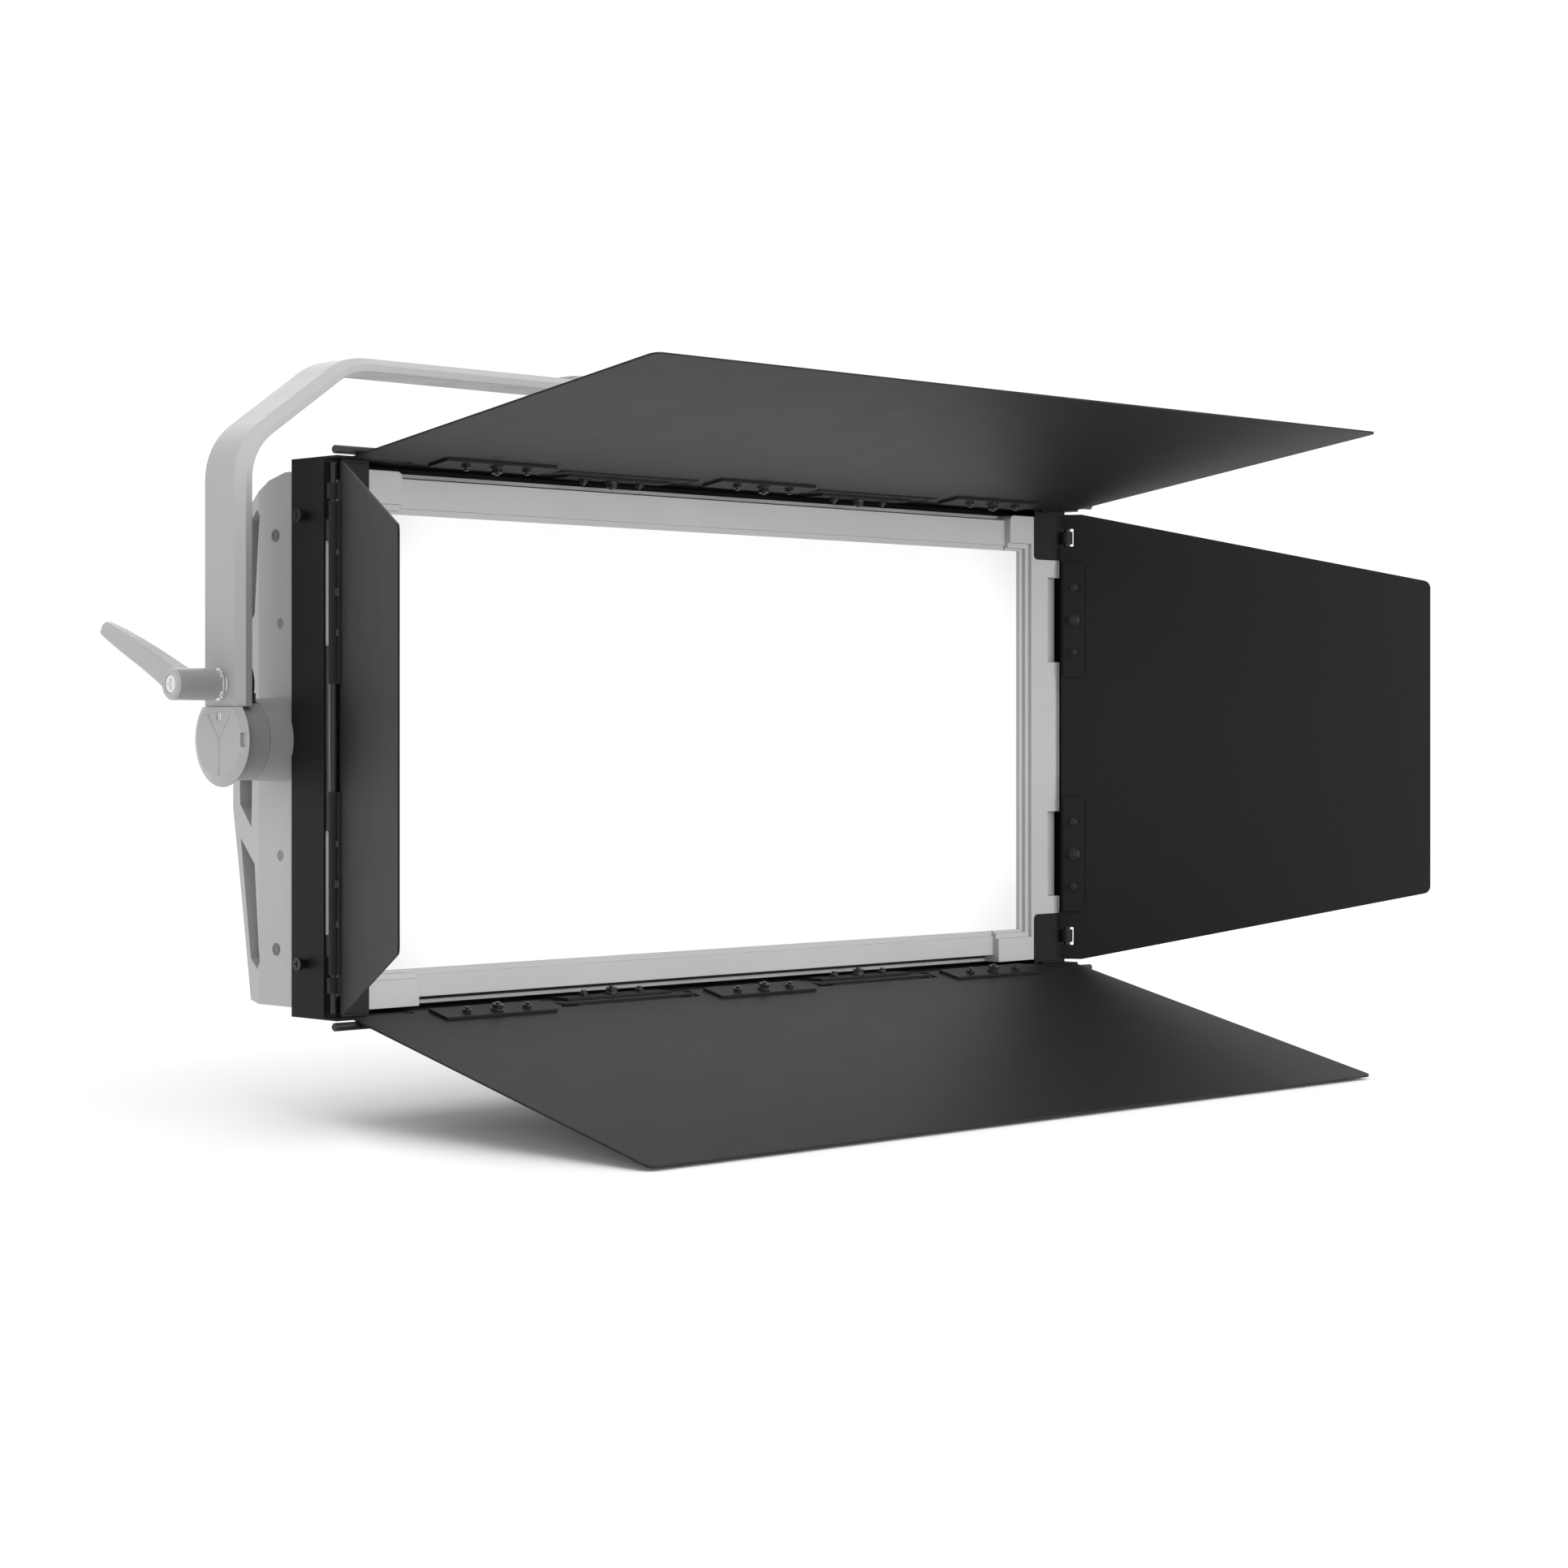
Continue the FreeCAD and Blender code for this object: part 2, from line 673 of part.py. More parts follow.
def build_pivot_shafts():
    left = fuse("left_shaft",
                along_x("left_shaft_body", PIVOT, "shaft_radius", "-bush_end - 0.2", "-335"),
                along_x("left_shaft_end", PIVOT, "7", "-eye_outer + 0.5", "-bush_end"))
    finish(group("shaft_pair", left, mirror("right_shaft", left)), "pivot_shafts")

    nut = cut("left_lock_nut",
              along_x("lock_nut_disc", PIVOT, "shaft_radius + 4", "-eye_outer + 0.5",
                      "-bush_end - 0.2"),
              along_x("lock_nut_hole", PIVOT, "7", "-eye_outer - 1", "-eye_inner"))
    finish(group("lock_nut_pair", nut, mirror("right_lock_nut", nut)), "pivot_lock_nuts")

    disc = cut("friction_disc_shape",
               along_x("friction_ring", PIVOT, "disc_radius", "-disc_inner - disc_thickness",
                       "-disc_inner"),
               along_x("friction_hole", PIVOT, "shaft_radius", "-eye_outer", "-eye_inner"))
    finish(disc, "friction_disc")


def build_housing():
    inside = "body_half_width - casting_thickness"
    span = (f"-({inside})", inside)
    shell = fuse(
        "housing_channel",
        box("housing_top", span, ("bezel_back", "95"), (f"{BODY_TOP} - shell_sheet", BODY_TOP)),
        box("housing_bottom", span, ("bezel_back", "102"),
            (BODY_BOTTOM, f"{BODY_BOTTOM} + shell_sheet")),
        box("housing_web", span, ("web_front", "web_front + shell_sheet"),
            (f"{BODY_BOTTOM} + 1", f"{BODY_TOP} - 1")))
    finish(shell, "housing_shell")

    board = extruded(
        "led_board_body", "XZ_Plane", "-web_front",
        rectangle("-315", "315", "opening_centre - 153", "opening_centre + 153"), "2")
    columns, rows, chip = 18, 8, 6.0
    pattern_sketch = new_sketch(board, "XZ_Plane", "2 - web_front")
    for row in range(rows):
        low = (row - (rows - 1) / 2) * 38.0 - chip / 2 + number_of("opening_centre")
        add_outline(pattern_sketch, rectangle(
            f"{-297.5 - chip / 2}", f"{-297.5 + chip / 2}", f"{low}", f"{low + chip}"))
    chips = pad(board, pattern_sketch, "1.2")
    repeat = board.newObject("PartDesign::LinearPattern", "ChipColumns")
    repeat.Originals = [chips]
    repeat.Direction = (pattern_sketch, ["H_Axis"])
    repeat.Length = 595
    repeat.Occurrences = columns
    board.Tip = repeat
    finish(board, "led_board")

    tray = cut("mixing_tray_shape",
               box("tray_outside", ("-317", "317"),
                   ("diffuser_front + diffuser_thickness", "web_front - 2"),
                   ("opening_centre - 155", "opening_centre + 155")),
               box("tray_inside", ("-315.5", "315.5"), ("0", "web_front"),
                   ("opening_centre - 153.5", "opening_centre + 153.5")))
    finish(tray, "mixing_tray")

    diffuser = box("diffuser_plate", ("-opening_half_width - 4.4", "opening_half_width + 4.4"),
                   ("diffuser_front", "diffuser_front + diffuser_thickness"),
                   ("opening_centre - opening_half_height - 4",
                    "opening_centre + opening_half_height + 4"))
    finish(diffuser, "diffuser")


def build_heat_sink():
    inside = "body_half_width - casting_thickness - 2"
    base_front = "web_front + shell_sheet"
    sink = extruded("heat_sink_body", "XZ_Plane", f"-({base_front})",
                    rectangle(f"-({inside})", inside, f"{BODY_BOTTOM} + 4", f"{BODY_TOP} - 4"),
                    "sink_base", backwards=True)
    fins = new_sketch(sink, "YZ_Plane", f"-({inside})")
    root = f"{base_front} + sink_base - 1"
    add_outline(fins, [
        (root, "cover_top + 2"), ("143", "cover_top + 2"), ("124", "139"),
        ("113", "154"), ("88", "168"), (root, "168"),
    ])
    add_outline(fins, [
        (root, "cover_bottom - 2"), (root, "-172"), ("111", "-172"), ("134", "-86"),
        ("143", "cover_bottom - 2"),
    ])
    fin = pad(sink, fins, "fin_thickness")
    repeat = sink.newObject("PartDesign::LinearPattern", "FinRow")
    repeat.Originals = [fin]
    repeat.Direction = (fins, ["N_Axis"])
    count = 1 + int(2 * number_of(inside) / number_of("fin_pitch"))
    repeat.Length = 2 * number_of(inside) - number_of("fin_thickness")
    repeat.Occurrences = count
    sink.Tip = repeat
    finish(sink, "heat_sink")


def build_rear_cover():
    root = "web_front + shell_sheet + sink_base"
    outside = box("cover_outside", ("-cover_half_width", "cover_half_width"),
                  (root, "cover_back"), ("cover_bottom", "cover_top"))
    inside = box("cover_inside", ("-cover_half_width + 2", "cover_half_width - 2"),
                 ("0", "cover_back - 2"), ("cover_bottom + 2", "cover_top - 2"))
    opening = box("cover_window", ("-panel_half_width + 8", "panel_half_width - 8"),
                  ("cover_back - 10", "cover_back + 10"), ("cover_bottom + 16", "cover_top - 16"))
    finish(cut("rear_cover_shape", outside, inside, opening), "rear_cover")

    finish(box("power_supply_case", ("20", "290"), (root, "118"),
               ("cover_bottom + 8", "cover_top - 10")), "power_supply")
    plate = box("control_board_plate", ("-290", "10"), ("100", "102"),
                ("cover_bottom + 8", "cover_top - 10"))
    posts = [along_y(f"board_post_{x}_{z}", (x, z), "3", root, "101")
             for x in ("-284", "4") for z in ("cover_bottom + 14", "cover_top - 16")]
    finish(fuse("control_board_shape", plate, *posts), "control_board")


# Rear controls: centre (x, z) of each
UPPER_ROW = "14"
LOWER_ROW = "-20"
DISPLAY_SPOT = ("-100", UPPER_ROW)
KNOB_SPOT = ("-45", UPPER_ROW)
BUTTON_SPOTS = {"button_menu": ("-14", UPPER_ROW), "button_up": ("10", UPPER_ROW),
                "button_down": ("34", UPPER_ROW)}
SWITCH_SPOT = ("125", UPPER_ROW)
INLET_SPOT = ("118", LOWER_ROW)
DATA_SPOTS = [("52", LOWER_ROW), ("82", LOWER_ROW)]
PANEL_SCREWS = [(x, z) for x in ("-144", "144") for z in ("-34", "31")]


def block_at(name, spot, half_x, half_z, y_range):
    x, z = spot
    return box(name, (f"{x} - {half_x}", f"{x} + {half_x}"), y_range,
               (f"{z} - {half_z}", f"{z} + {half_z}"))


def along_y(name, spot, radius, start, end):
    x, z = spot
    return cylinder(name, "y", (x, start, z), radius, f"({end}) - ({start})")


def build_controls():
    face = "cover_back + panel_thickness"
    through = ("cover_back - 5", f"{face} + 5")
    panel_blank = extruded(
        "control_panel_blank", "XZ_Plane", "-cover_back",
        rectangle("-panel_half_width", "panel_half_width", "-40", "37"),
        "panel_thickness", backwards=True)
    round_edges(panel_blank, "5", lambda middle, along: abs(along.y) > 0.99)
    holes = [block_at("display_hole", DISPLAY_SPOT, "28", "12", through),
             block_at("switch_hole", SWITCH_SPOT, "10.5", "7.5", through),
             along_y("knob_hole", KNOB_SPOT, "3.05", *through),
             along_y("inlet_hole", INLET_SPOT, "12.1", *through)]
    for label, spot in BUTTON_SPOTS.items():
        holes.append(block_at(label + "_hole", spot, "7.3", "4.3", through))
    for index, spot in enumerate(DATA_SPOTS):
        holes.append(along_y(f"data_hole_{index}", spot, "11.1", *through))
    for index, spot in enumerate(PANEL_SCREWS):
        holes.append(along_y(f"panel_screw_hole_{index}", spot, "1.6", *through))
    finish(cut("control_panel_shape", panel_blank, *holes), "control_panel")

    finish(block_at("display_pane", DISPLAY_SPOT, "28", "12",
                    ("cover_back", f"{face} - 0.5")), "display_window")

    # menu knob: a fluted barrel on a thin spindle
    barrel = along_y("knob_barrel", KNOB_SPOT, "9.5", f"{face} + 0.5", f"{face} + 12")
    flutes = []
    flute_count = 16
    for index in range(flute_count):
        angle = 2 * math.pi * index / flute_count
        spot = (f"{KNOB_SPOT[0]} + {10.1 * math.cos(angle):.4f}",
                f"{KNOB_SPOT[1]} + {10.1 * math.sin(angle):.4f}")
        flutes.append(along_y(f"knob_flute_{index}", spot, "1.1", f"{face} - 1",
                              f"{face} + 9.5"))
    spindle = along_y("knob_spindle", KNOB_SPOT, "3", "cover_back - 6", f"{face} + 1")
    finish(fuse("knob_shape", cut("knob_fluted", barrel, *flutes), spindle), "menu_knob")

    for label, spot in BUTTON_SPOTS.items():
        cap = block_at(label + "_cap", spot, "7", "4", ("cover_back - 3.5", f"{face} + 2"))
        flange = block_at(label + "_flange", spot, "8.5", "5.5",
                          ("cover_back - 3.5", "cover_back - 2.2"))
        finish(fuse(label + "_shape", cap, flange), label)

    # rocker switch, resting on its lower half
    half = block_at("rocker_block", SWITCH_SPOT, "10", "6.8", ("cover_back - 5", f"{face} + 1.5"))
    hollow = along_y("rocker_hollow", SWITCH_SPOT, "0.8", f"{face} + 0.9", f"{face} + 3")
    pin = cylinder("rocker_pin", "x",
                   (f"{SWITCH_SPOT[0]} - 11.8", "cover_back - 1", SWITCH_SPOT[1]), "0.8", "23.6")
    rocker = fuse("rocker_shape", cut("rocker_cap", half, hollow), pin)
    pivot = Vector(0, number_of("cover_back - 1"), number_of(UPPER_ROW))
    tilt = Rotation(Vector(1, 0, 0), 5)
    finish(rocker, "power_switch", Placement(pivot - tilt.multVec(pivot), tilt))

    flange = block_at("inlet_flange", INLET_SPOT, "13", "15.5", (face, f"{face} + 2"))
    barrel = along_y("inlet_barrel", INLET_SPOT, "12", "cover_back - 18", f"{face} + 3.5")
    socket = along_y("inlet_socket", INLET_SPOT, "9.5", "cover_back - 12", f"{face} + 5")
    core = along_y("inlet_core", INLET_SPOT, "6", "cover_back - 13", f"{face} + 1.5")
    finish(fuse("inlet_shape", cut("inlet_shell", fuse("inlet_body", flange, barrel), socket),
                core), "power_inlet")

    sockets = []
    for index, spot in enumerate(DATA_SPOTS):
        rim = block_at(f"data_flange_{index}", spot, "13", "14", (face, f"{face} + 2"))
        tube = along_y(f"data_tube_{index}", spot, "11", "cover_back - 16", f"{face} + 2")
        hole = along_y(f"data_socket_{index}", spot, "9", "cover_back - 10", f"{face} + 5")
        plug = along_y(f"data_insert_{index}", spot, "7.6", "cover_back - 12", f"{face} + 0.5")
        sockets.append(fuse(f"data_connector_{index}",
                            cut(f"data_shell_{index}", fuse(f"data_body_{index}", rim, tube),
                                hole), plug))
    finish(group("data_pair", *sockets), "data_connectors")

    screws = []
    for index, spot in enumerate(PANEL_SCREWS):
        head = along_y(f"panel_screw_head_{index}", spot, "2.8", face, f"{face} + 1.4")
        shank = along_y(f"panel_screw_shank_{index}", spot, "1.6", "cover_back",
                        f"{face} + 0.5")
        screws.append(fuse(f"panel_screw_{index}", head, shank))
    finish(group("panel_screw_set", *screws), "panel_screws")

    seats = []
    for spot in ("76", "-78"):
        seats.append(along_x(f"side_screw_{spot}", ("77", spot), "3.4",
                             "-body_half_width + 0.3", "-body_half_width + 2"))
    left = group("left_side_screws", *seats)
    finish(group("side_screw_set", left, mirror("right_side_screws", left)), "side_screws")


def build_bezel():
    top = "opening_centre + opening_half_height"
    bottom = "opening_centre - opening_half_height"
    outline = [
        ("-bezel_half_width", BODY_BOTTOM),
        ("-bottom_arm_inner", BODY_BOTTOM),
        ("-bottom_arm_inner", bottom),
        ("-opening_half_width", bottom),
        ("-opening_half_width", top),
        ("-top_arm_inner", top),
        ("-top_arm_inner", BODY_TOP),
        ("-bezel_half_width", BODY_TOP),
    ]
    blank = extruded("bezel_side_blank", "XZ_Plane", "-bezel_front", outline,
                     "bezel_back - bezel_front", backwards=True)
    round_edges(blank, "4", lambda middle, along: abs(along.y) > 0.99
                and abs(middle.x + number_of("top_arm_inner")) < 1
                and middle.z > number_of(BODY_TOP) - 1)
    opening = ("-opening_half_width - {}", "0")
    steps = [box(f"hinge_pocket_{index}", ("-bezel_half_width - 1", "-348.5"),
                 ("0", "bezel_front + 5.5"), (f"{centre} - 34", f"{centre} + 34"))
             for index, centre in enumerate(("-94", "94"))]
    # two steps down to the opening, and the diffuser's seat behind it
    for reach, depth in ((8, 3), (4, 6)):
        steps.append(box(f"bezel_step_{reach}",
                         (opening[0].format(reach), "0"), ("0", f"bezel_front + {depth}"),
                         (f"{bottom} - {reach - 2}", f"{top} + {reach - 2}")))
    steps.append(box("bezel_seat", ("-opening_half_width - 5", "0"), ("diffuser_front", "40"),
                     (f"{bottom} - 5", f"{top} + 5")))
    left = cut("bezel_left_shape", blank, *steps)
    finish(left, "bezel_left")
    finish(mirror("bezel_right_shape", copy_unplaced(left)), "bezel_right")

    for label, low, high, half in (
            ("bezel_top", top, "pivot_height + 173", "top_arm_inner"),
            ("bezel_bottom", "pivot_height - 171.6", bottom, "bottom_arm_inner")):
        rail = box(label + "_rail", (f"-{half}", half), ("rail_front", "bezel_back"), (low, high))
        seat = box(label + "_seat", ("-400", "400"), ("diffuser_front", "40"),
                   (f"{bottom} - 5", f"{top} + 5"))
        lip = box(label + "_lip", ("-400", "400"), ("0", "rail_front + 1.5"),
                  (f"{bottom} - 4", f"{top} + 4"))
        finish(cut(label + "_shape", rail, seat, lip), label)


# ---------------------------------------------------------------------------------------------
# Barn-door frame
# ---------------------------------------------------------------------------------------------
TOP_DOOR_TABS = ("-2*clamp_pitch", "0", "2*clamp_pitch")
FRAME_TABS = ("-clamp_pitch", "clamp_pitch")


def build_door_frame():
    half_width = "frame_width/2"
    half_height = "frame_height/2"
    ring = doc.addObject("PartDesign::Body", "frame_ring")
    sketch = new_sketch(ring, "XZ_Plane", "0")
    add_outline(sketch, rectangle(f"-{half_width}", half_width, f"-{half_height}", half_height))
    add_outline(sketch, rectangle(
        f"-{half_width} + frame_sheet", f"{half_width} - frame_sheet",
        f"-{half_height} + frame_sheet", f"{half_height} - frame_sheet"))
    pad(ring, sketch, "frame_depth", backwards=True)

    rear = extruded("frame_return_blank", "XZ_Plane", "-frame_depth",
                    rectangle(f"-{half_width} + 1", f"{half_width} - 1",
                              f"-{half_height} + 1", f"{half_height} - 1"), "frame_sheet")
    window = box("frame_return_window", ("-body_half_width - 0.4", "body_half_width + 0.4"),
                 ("0", "60"), (f"{BODY_BOTTOM} - 0.3", f"{BODY_TOP} + 0.3"))
    tabs = [cut("frame_return", rear, window)]
    for side, low, high in (("top", f"{half_height} - frame_sheet", half_height),
                            ("bottom", f"-{half_height}", f"-{half_height} + frame_sheet")):
        for index, centre in enumerate(FRAME_TABS):
            tabs.append(box(f"{side}_tab_{index}", (f"{centre} - 61", f"{centre} + 61"),
                            ("-top_rod_forward - 4", "1"), (low, high)))
    cuts = []
    for index, centre in enumerate(TOP_DOOR_TABS):
        cuts.append(box(f"flange_notch_{index}", (f"{centre} - 63", f"{centre} + 63"),
                        ("-1", "5"), ("-frame_height", "frame_height")))
    cuts.append(box("side_plate_relief", ("-frame_width", "frame_width"),
                    ("-1", "side_plate_front"),
                    (f"-{half_height} + frame_sheet", f"{half_height} - frame_sheet")))
    for spot in ("145", "-147"):
        cuts.append(along_x(f"frame_hole_{spot}", ("34", spot), "3.1", "-400", "400"))
    cuts.append(along_x("boss_notch", PIVOT, "boss_root_radius + 0.8", "-400", "400"))
    for x, y, z_low, _ in hinge_bolt_places():
        cuts.append(cylinder(f"tab_hole_{x}_{z_low}", "z", (x, y, z_low), "1.6", "8"))
    finish(cut("door_frame_shape", fuse("frame_with_tabs", ring, *tabs), *cuts), "door_frame")


FRAME_BOLT_BACK = "9.4"


def hinge_bolt_places():
    """Bolts of the frame-side hinge clamps: x, y, low z of the frame's sheet, and side."""
    places = []
    for side, low in ((1, "frame_height/2 - 4"), (-1, "-frame_height/2 - 4")):
        for centre in FRAME_TABS:
            for step in (-1, 0, 1):
                places.append((f"{centre} + {26 * step}", FRAME_BOLT_BACK, low, side))
    return places


def build_corner_brackets():
    """Gusset plates just behind the frame's front, each with a folded lug for the side rod."""
    half_width = "frame_width/2"
    half_height = "frame_height/2"
    corners = []
    for index, (side_x, side_z) in enumerate(((1, 1), (1, -1))):
        inner = f"{half_width} - frame_sheet"
        low, high = f"{half_height} - frame_sheet - gusset_height", f"{half_height} - frame_sheet"
        gusset = extruded(f"gusset_blank_{index}", "XZ_Plane", "-bezel_front",
                          rectangle(f"{inner} - gusset_width", inner, low, high), "gusset_sheet")
        round_edges(gusset, "4", lambda middle, along: abs(along.y) > 0.99
                    and middle.x < number_of(f"{inner} - gusset_width + 1")
                    and middle.z < number_of(f"{low} + 1"))
        arm = box(f"lug_arm_{index}", ("side_rod_reach - 2", inner),
                  ("side_rod_back", "bezel_front"), ("155", "165"))
        eye = cylinder(f"lug_eye_{index}", "z", ("side_rod_reach", "side_rod_back", "155"),
                       "rod_radius + 1.9", "10")
        tab = box(f"gusset_tab_{index}", (f"{inner} - 31", f"{inner} - 9"),
                  ("9", "bezel_front - gusset_sheet"), (f"{high} - 1.5", high))
        fold = box(f"gusset_fold_{index}", (f"{inner} - 31", f"{inner} - 9"),
                   ("bezel_front - gusset_sheet - 0.5", "bezel_front - gusset_sheet"),
                   (f"{high} - 22", high))
        hole = cylinder(f"lug_hole_{index}", "z", ("side_rod_reach", "side_rod_back", "150"),
                        "rod_radius + 0.06", "20")
        bracket = cut(f"bracket_{index}",
                      fuse(f"bracket_blank_{index}", gusset, arm, eye, tab, fold), hole)
        if side_z < 0:
            bracket = mirror(f"bracket_low_{index}", bracket, (0, 0, 1))
        corners.append(bracket)
        corners.append(mirror(f"bracket_mirrored_{index}", bracket))
    finish(group("corner_bracket_set", *corners), "corner_brackets")


def build_frame_screws():
    screws = []
    for spot in ("145", "-147"):
        head = along_x(f"frame_screw_head_{spot}", ("34", spot), "4.2",
                       "-frame_width/2 - 7", "-frame_width/2 - 4")
        neck = along_x(f"frame_screw_neck_{spot}", ("34", spot), "3",
                       "-frame_width/2 - 5", "-bezel_half_width + 5.9")
        shank = along_x(f"frame_screw_shank_{spot}", ("34", spot), "2.4",
                        "-bezel_half_width + 5", "-342")
        cross = box(f"frame_screw_slot_{spot}", ("-frame_width/2 - 8", "-frame_width/2 - 5.8"),
                    ("33.5", "34.5"), (f"{spot} - 2.6", f"{spot} + 2.6"))
        cross_b = box(f"frame_screw_slot_b_{spot}", ("-frame_width/2 - 8", "-frame_width/2 - 5.8"),
                      ("31.4", "36.6"), (f"{spot} - 0.5", f"{spot} + 0.5"))
        screws.append(cut(f"frame_screw_{spot}",
                          fuse(f"frame_screw_blank_{spot}", head, neck, shank), cross, cross_b))
    left = group("left_frame_screws", *screws)
    finish(group("frame_screw_set", left, mirror("right_frame_screws", left)), "frame_screws")


def build_frame_hinge_clamps():
    """Saddles over the top and bottom hinge rods, with their backing plates inside the frame."""
    rod_y = "-top_rod_forward"
    rod_z = "top_rod_height"
    base = "frame_height/2"
    pieces = []
    for index, centre in enumerate(FRAME_TABS):
        span = (f"{centre} - clamp_plate_length/2", f"{centre} + clamp_plate_length/2")
        start = span[0]
        outer = "rod_radius + rod_gap + clamp_sheet"
        inner = "rod_radius + rod_gap + 0.02"
        ridge = fuse(
            f"frame_ridge_{index}",
            cylinder(f"frame_ridge_round_{index}", "x", (start, rod_y, rod_z), outer,
                     "clamp_plate_length"),
            box(f"frame_ridge_block_{index}", span,
                (f"{rod_y} - ({outer})", f"{rod_y} + ({outer})"), (base, rod_z)),
            box(f"frame_flange_{index}", span, (rod_y, f"{rod_y} + 22"),
                (base, f"{base} + clamp_sheet")))
        hollow = [
            cylinder(f"frame_ridge_hole_{index}", "x", (f"{start} - 1", rod_y, rod_z), inner,
                     "clamp_plate_length + 2"),
            box(f"frame_ridge_slot_{index}", (f"{span[0]} - 1", f"{span[1]} + 1"),
                (f"{rod_y} - ({inner})", f"{rod_y} + ({inner})"), (f"{base} - 1", rod_z)),
            box(f"frame_ridge_foot_{index}", (f"{span[0]} - 1", f"{span[1]} + 1"),
                (f"{rod_y} - ({outer}) - 1", f"{rod_y} + ({outer}) + 1"), (f"{base} - 5", base)),
        ]
        plate = box(f"frame_clamp_plate_{index}", span, ("0.4", "18.4"),
                    (f"{base} - frame_sheet - clamp_plate_thickness", f"{base} - frame_sheet"))
        holes = [cylinder(f"frame_clamp_hole_{index}_{step}", "z",
                          (f"{centre} + {26 * step}", FRAME_BOLT_BACK, f"{base} - 10"), "1.6",
                          "20") for step in (-1, 1)]
        holes.append(cylinder(f"frame_clamp_hole_{index}_0", "z",
                              (centre, FRAME_BOLT_BACK, f"{base} - 10"), "1.6", "20"))
        pieces.append(cut(f"frame_saddle_{index}", ridge, *hollow, *holes))
        pieces.append(cut(f"frame_plate_{index}", plate, fuse(f"frame_holes_{index}", *[
            cylinder(f"frame_plate_hole_{index}_{step}", "z",
                     (f"{centre} + {26 * step}", FRAME_BOLT_BACK, f"{base} - 10"), "1.6", "20")
            for step in (-1, 0, 1)])))
    top = group("top_frame_clamps", *pieces)
    finish(group("frame_clamp_set", top, mirror("bottom_frame_clamps", top, (0, 0, 1))),
           "frame_hinge_clamps")

    bolts = []
    for index, (x, y, _, side) in enumerate(hinge_bolt_places()):
        if side < 0:
            continue
        middle = index % 3 == 1
        bolts.append(hinge_bolt(f"frame_bolt_{index}", (x, y), middle,
                                "frame_height/2 + clamp_sheet",
                                "frame_height/2 - frame_sheet - clamp_plate_thickness"))
    top = group("top_frame_bolts", *bolts)
    finish(group("frame_bolt_set", top, mirror("bottom_frame_bolts", top, (0, 0, 1))),
           "frame_hinge_bolts")


# Hinge bolts: (head radius, head height, nut across flats, nut height, flange radius, stud end)
SMALL_BOLT = (2.85, 1.7, 5.5, 2.4, 0.0, 1.6)
LARGE_BOLT = (3.4, 2.2, 7.0, 4.4, 4.6, 1.2)
BOLT_SHANK = "1.6"


def hinge_bolt(name, spot, large, head_face, nut_face):
    """A button-head bolt pointing down through a clamp, with its nut, as one solid."""
    head_radius, head_height, flats, nut_height, flange, stud_end = (
        LARGE_BOLT if large else SMALL_BOLT)
    x, y = spot
    total = f"({head_face}) - ({nut_face}) + {nut_height + stud_end}"
    pieces = [
        cone(name + "_head", "z", (x, y, head_face), str(head_radius), str(head_radius - 0.8),
             str(head_height)),
        cylinder(name + "_shank", "z", (x, y, f"({nut_face}) - {nut_height + stud_end}"),
                 BOLT_SHANK, total),
        hexagon(name + "_nut", "z", (x, y, f"({nut_face}) - {nut_height}"), str(flats),
                str(nut_height)),
    ]
    if flange:
        pieces.append(cylinder(name + "_flange", "z", (x, y, f"({nut_face}) - 1.2"),
                               str(flange), "1.2"))
    return fuse(name, *pieces)


# ---------------------------------------------------------------------------------------------
# Barn doors, each drawn about its own hinge rod: x along the rod, y away from the hinge along
# the sheet, z outwards from the beam
# ---------------------------------------------------------------------------------------------
DOOR_FACE = "-(rod_radius + rod_gap)"
BOLT_OUT = "8"


def door_sheet(name, hinge_edge, half_free, length):
    body = doc.addObject("PartDesign::Body", name + "_blank")
    sketch = new_sketch(body, "XY_Plane", DOOR_FACE)
    add_outline(sketch, hinge_edge + [(half_free, length), (f"-({half_free})", length)])
    pad(body, sketch, "door_sheet", backwards=True)
    limit = number_of(length) - 1
    round_edges(body, "6", lambda middle, along: abs(along.z) > 0.99 and middle.y > limit)
    return body


def door_clamps(name, centres, saddle_length, plate_length, flange, plate_start):
    """Saddles round the rod on the outside, and plates on the inside, as separate solids."""
    outer = "rod_radius + rod_gap + clamp_sheet"
    inner = "rod_radius + rod_gap"
    inside_face = f"{DOOR_FACE} - door_sheet"
    pieces = []
    for index, centre in enumerate(centres):
        tag = f"{name}_{index}"
        span = (f"{centre} - {saddle_length}/2", f"{centre} + {saddle_length}/2")
        ridge = fuse(
            tag + "_ridge",
            cylinder(tag + "_round", "x", (span[0], "0", "0"), outer, saddle_length),
            box(tag + "_block", span, (f"-({outer})", outer), (DOOR_FACE, "0")),
            box(tag + "_flange", span, ("0", flange), (DOOR_FACE, f"{DOOR_FACE} + clamp_sheet")))
        hollow = [
            cylinder(tag + "_bore", "x", (f"{span[0]} - 1", "0", "0"), inner,
                     f"{saddle_length} + 2"),
            box(tag + "_slot", (f"{span[0]} - 1", f"{span[1]} + 1"),
                (f"-({inner})", inner), (f"{DOOR_FACE} - 1", "0")),
            box(tag + "_foot", (f"{span[0]} - 1", f"{span[1]} + 1"),
                (f"-({outer}) - 1", f"{outer} + 1"), (f"{DOOR_FACE} - 5", DOOR_FACE)),
        ]
        plate = box(tag + "_plate", (f"{centre} - {plate_length}/2", f"{centre} + {plate_length}/2"),
                    (plate_start, "15"), (f"{inside_face} - clamp_plate_thickness", inside_face))
        holes = bolt_holes(tag, [centre])
        more_holes = bolt_holes(tag + "_plate", [centre])
        pieces.append(cut(tag + "_saddle", ridge, *hollow, *holes))
        pieces.append(cut(tag + "_plate_cut", plate, *more_holes))
    return group(name, *pieces)


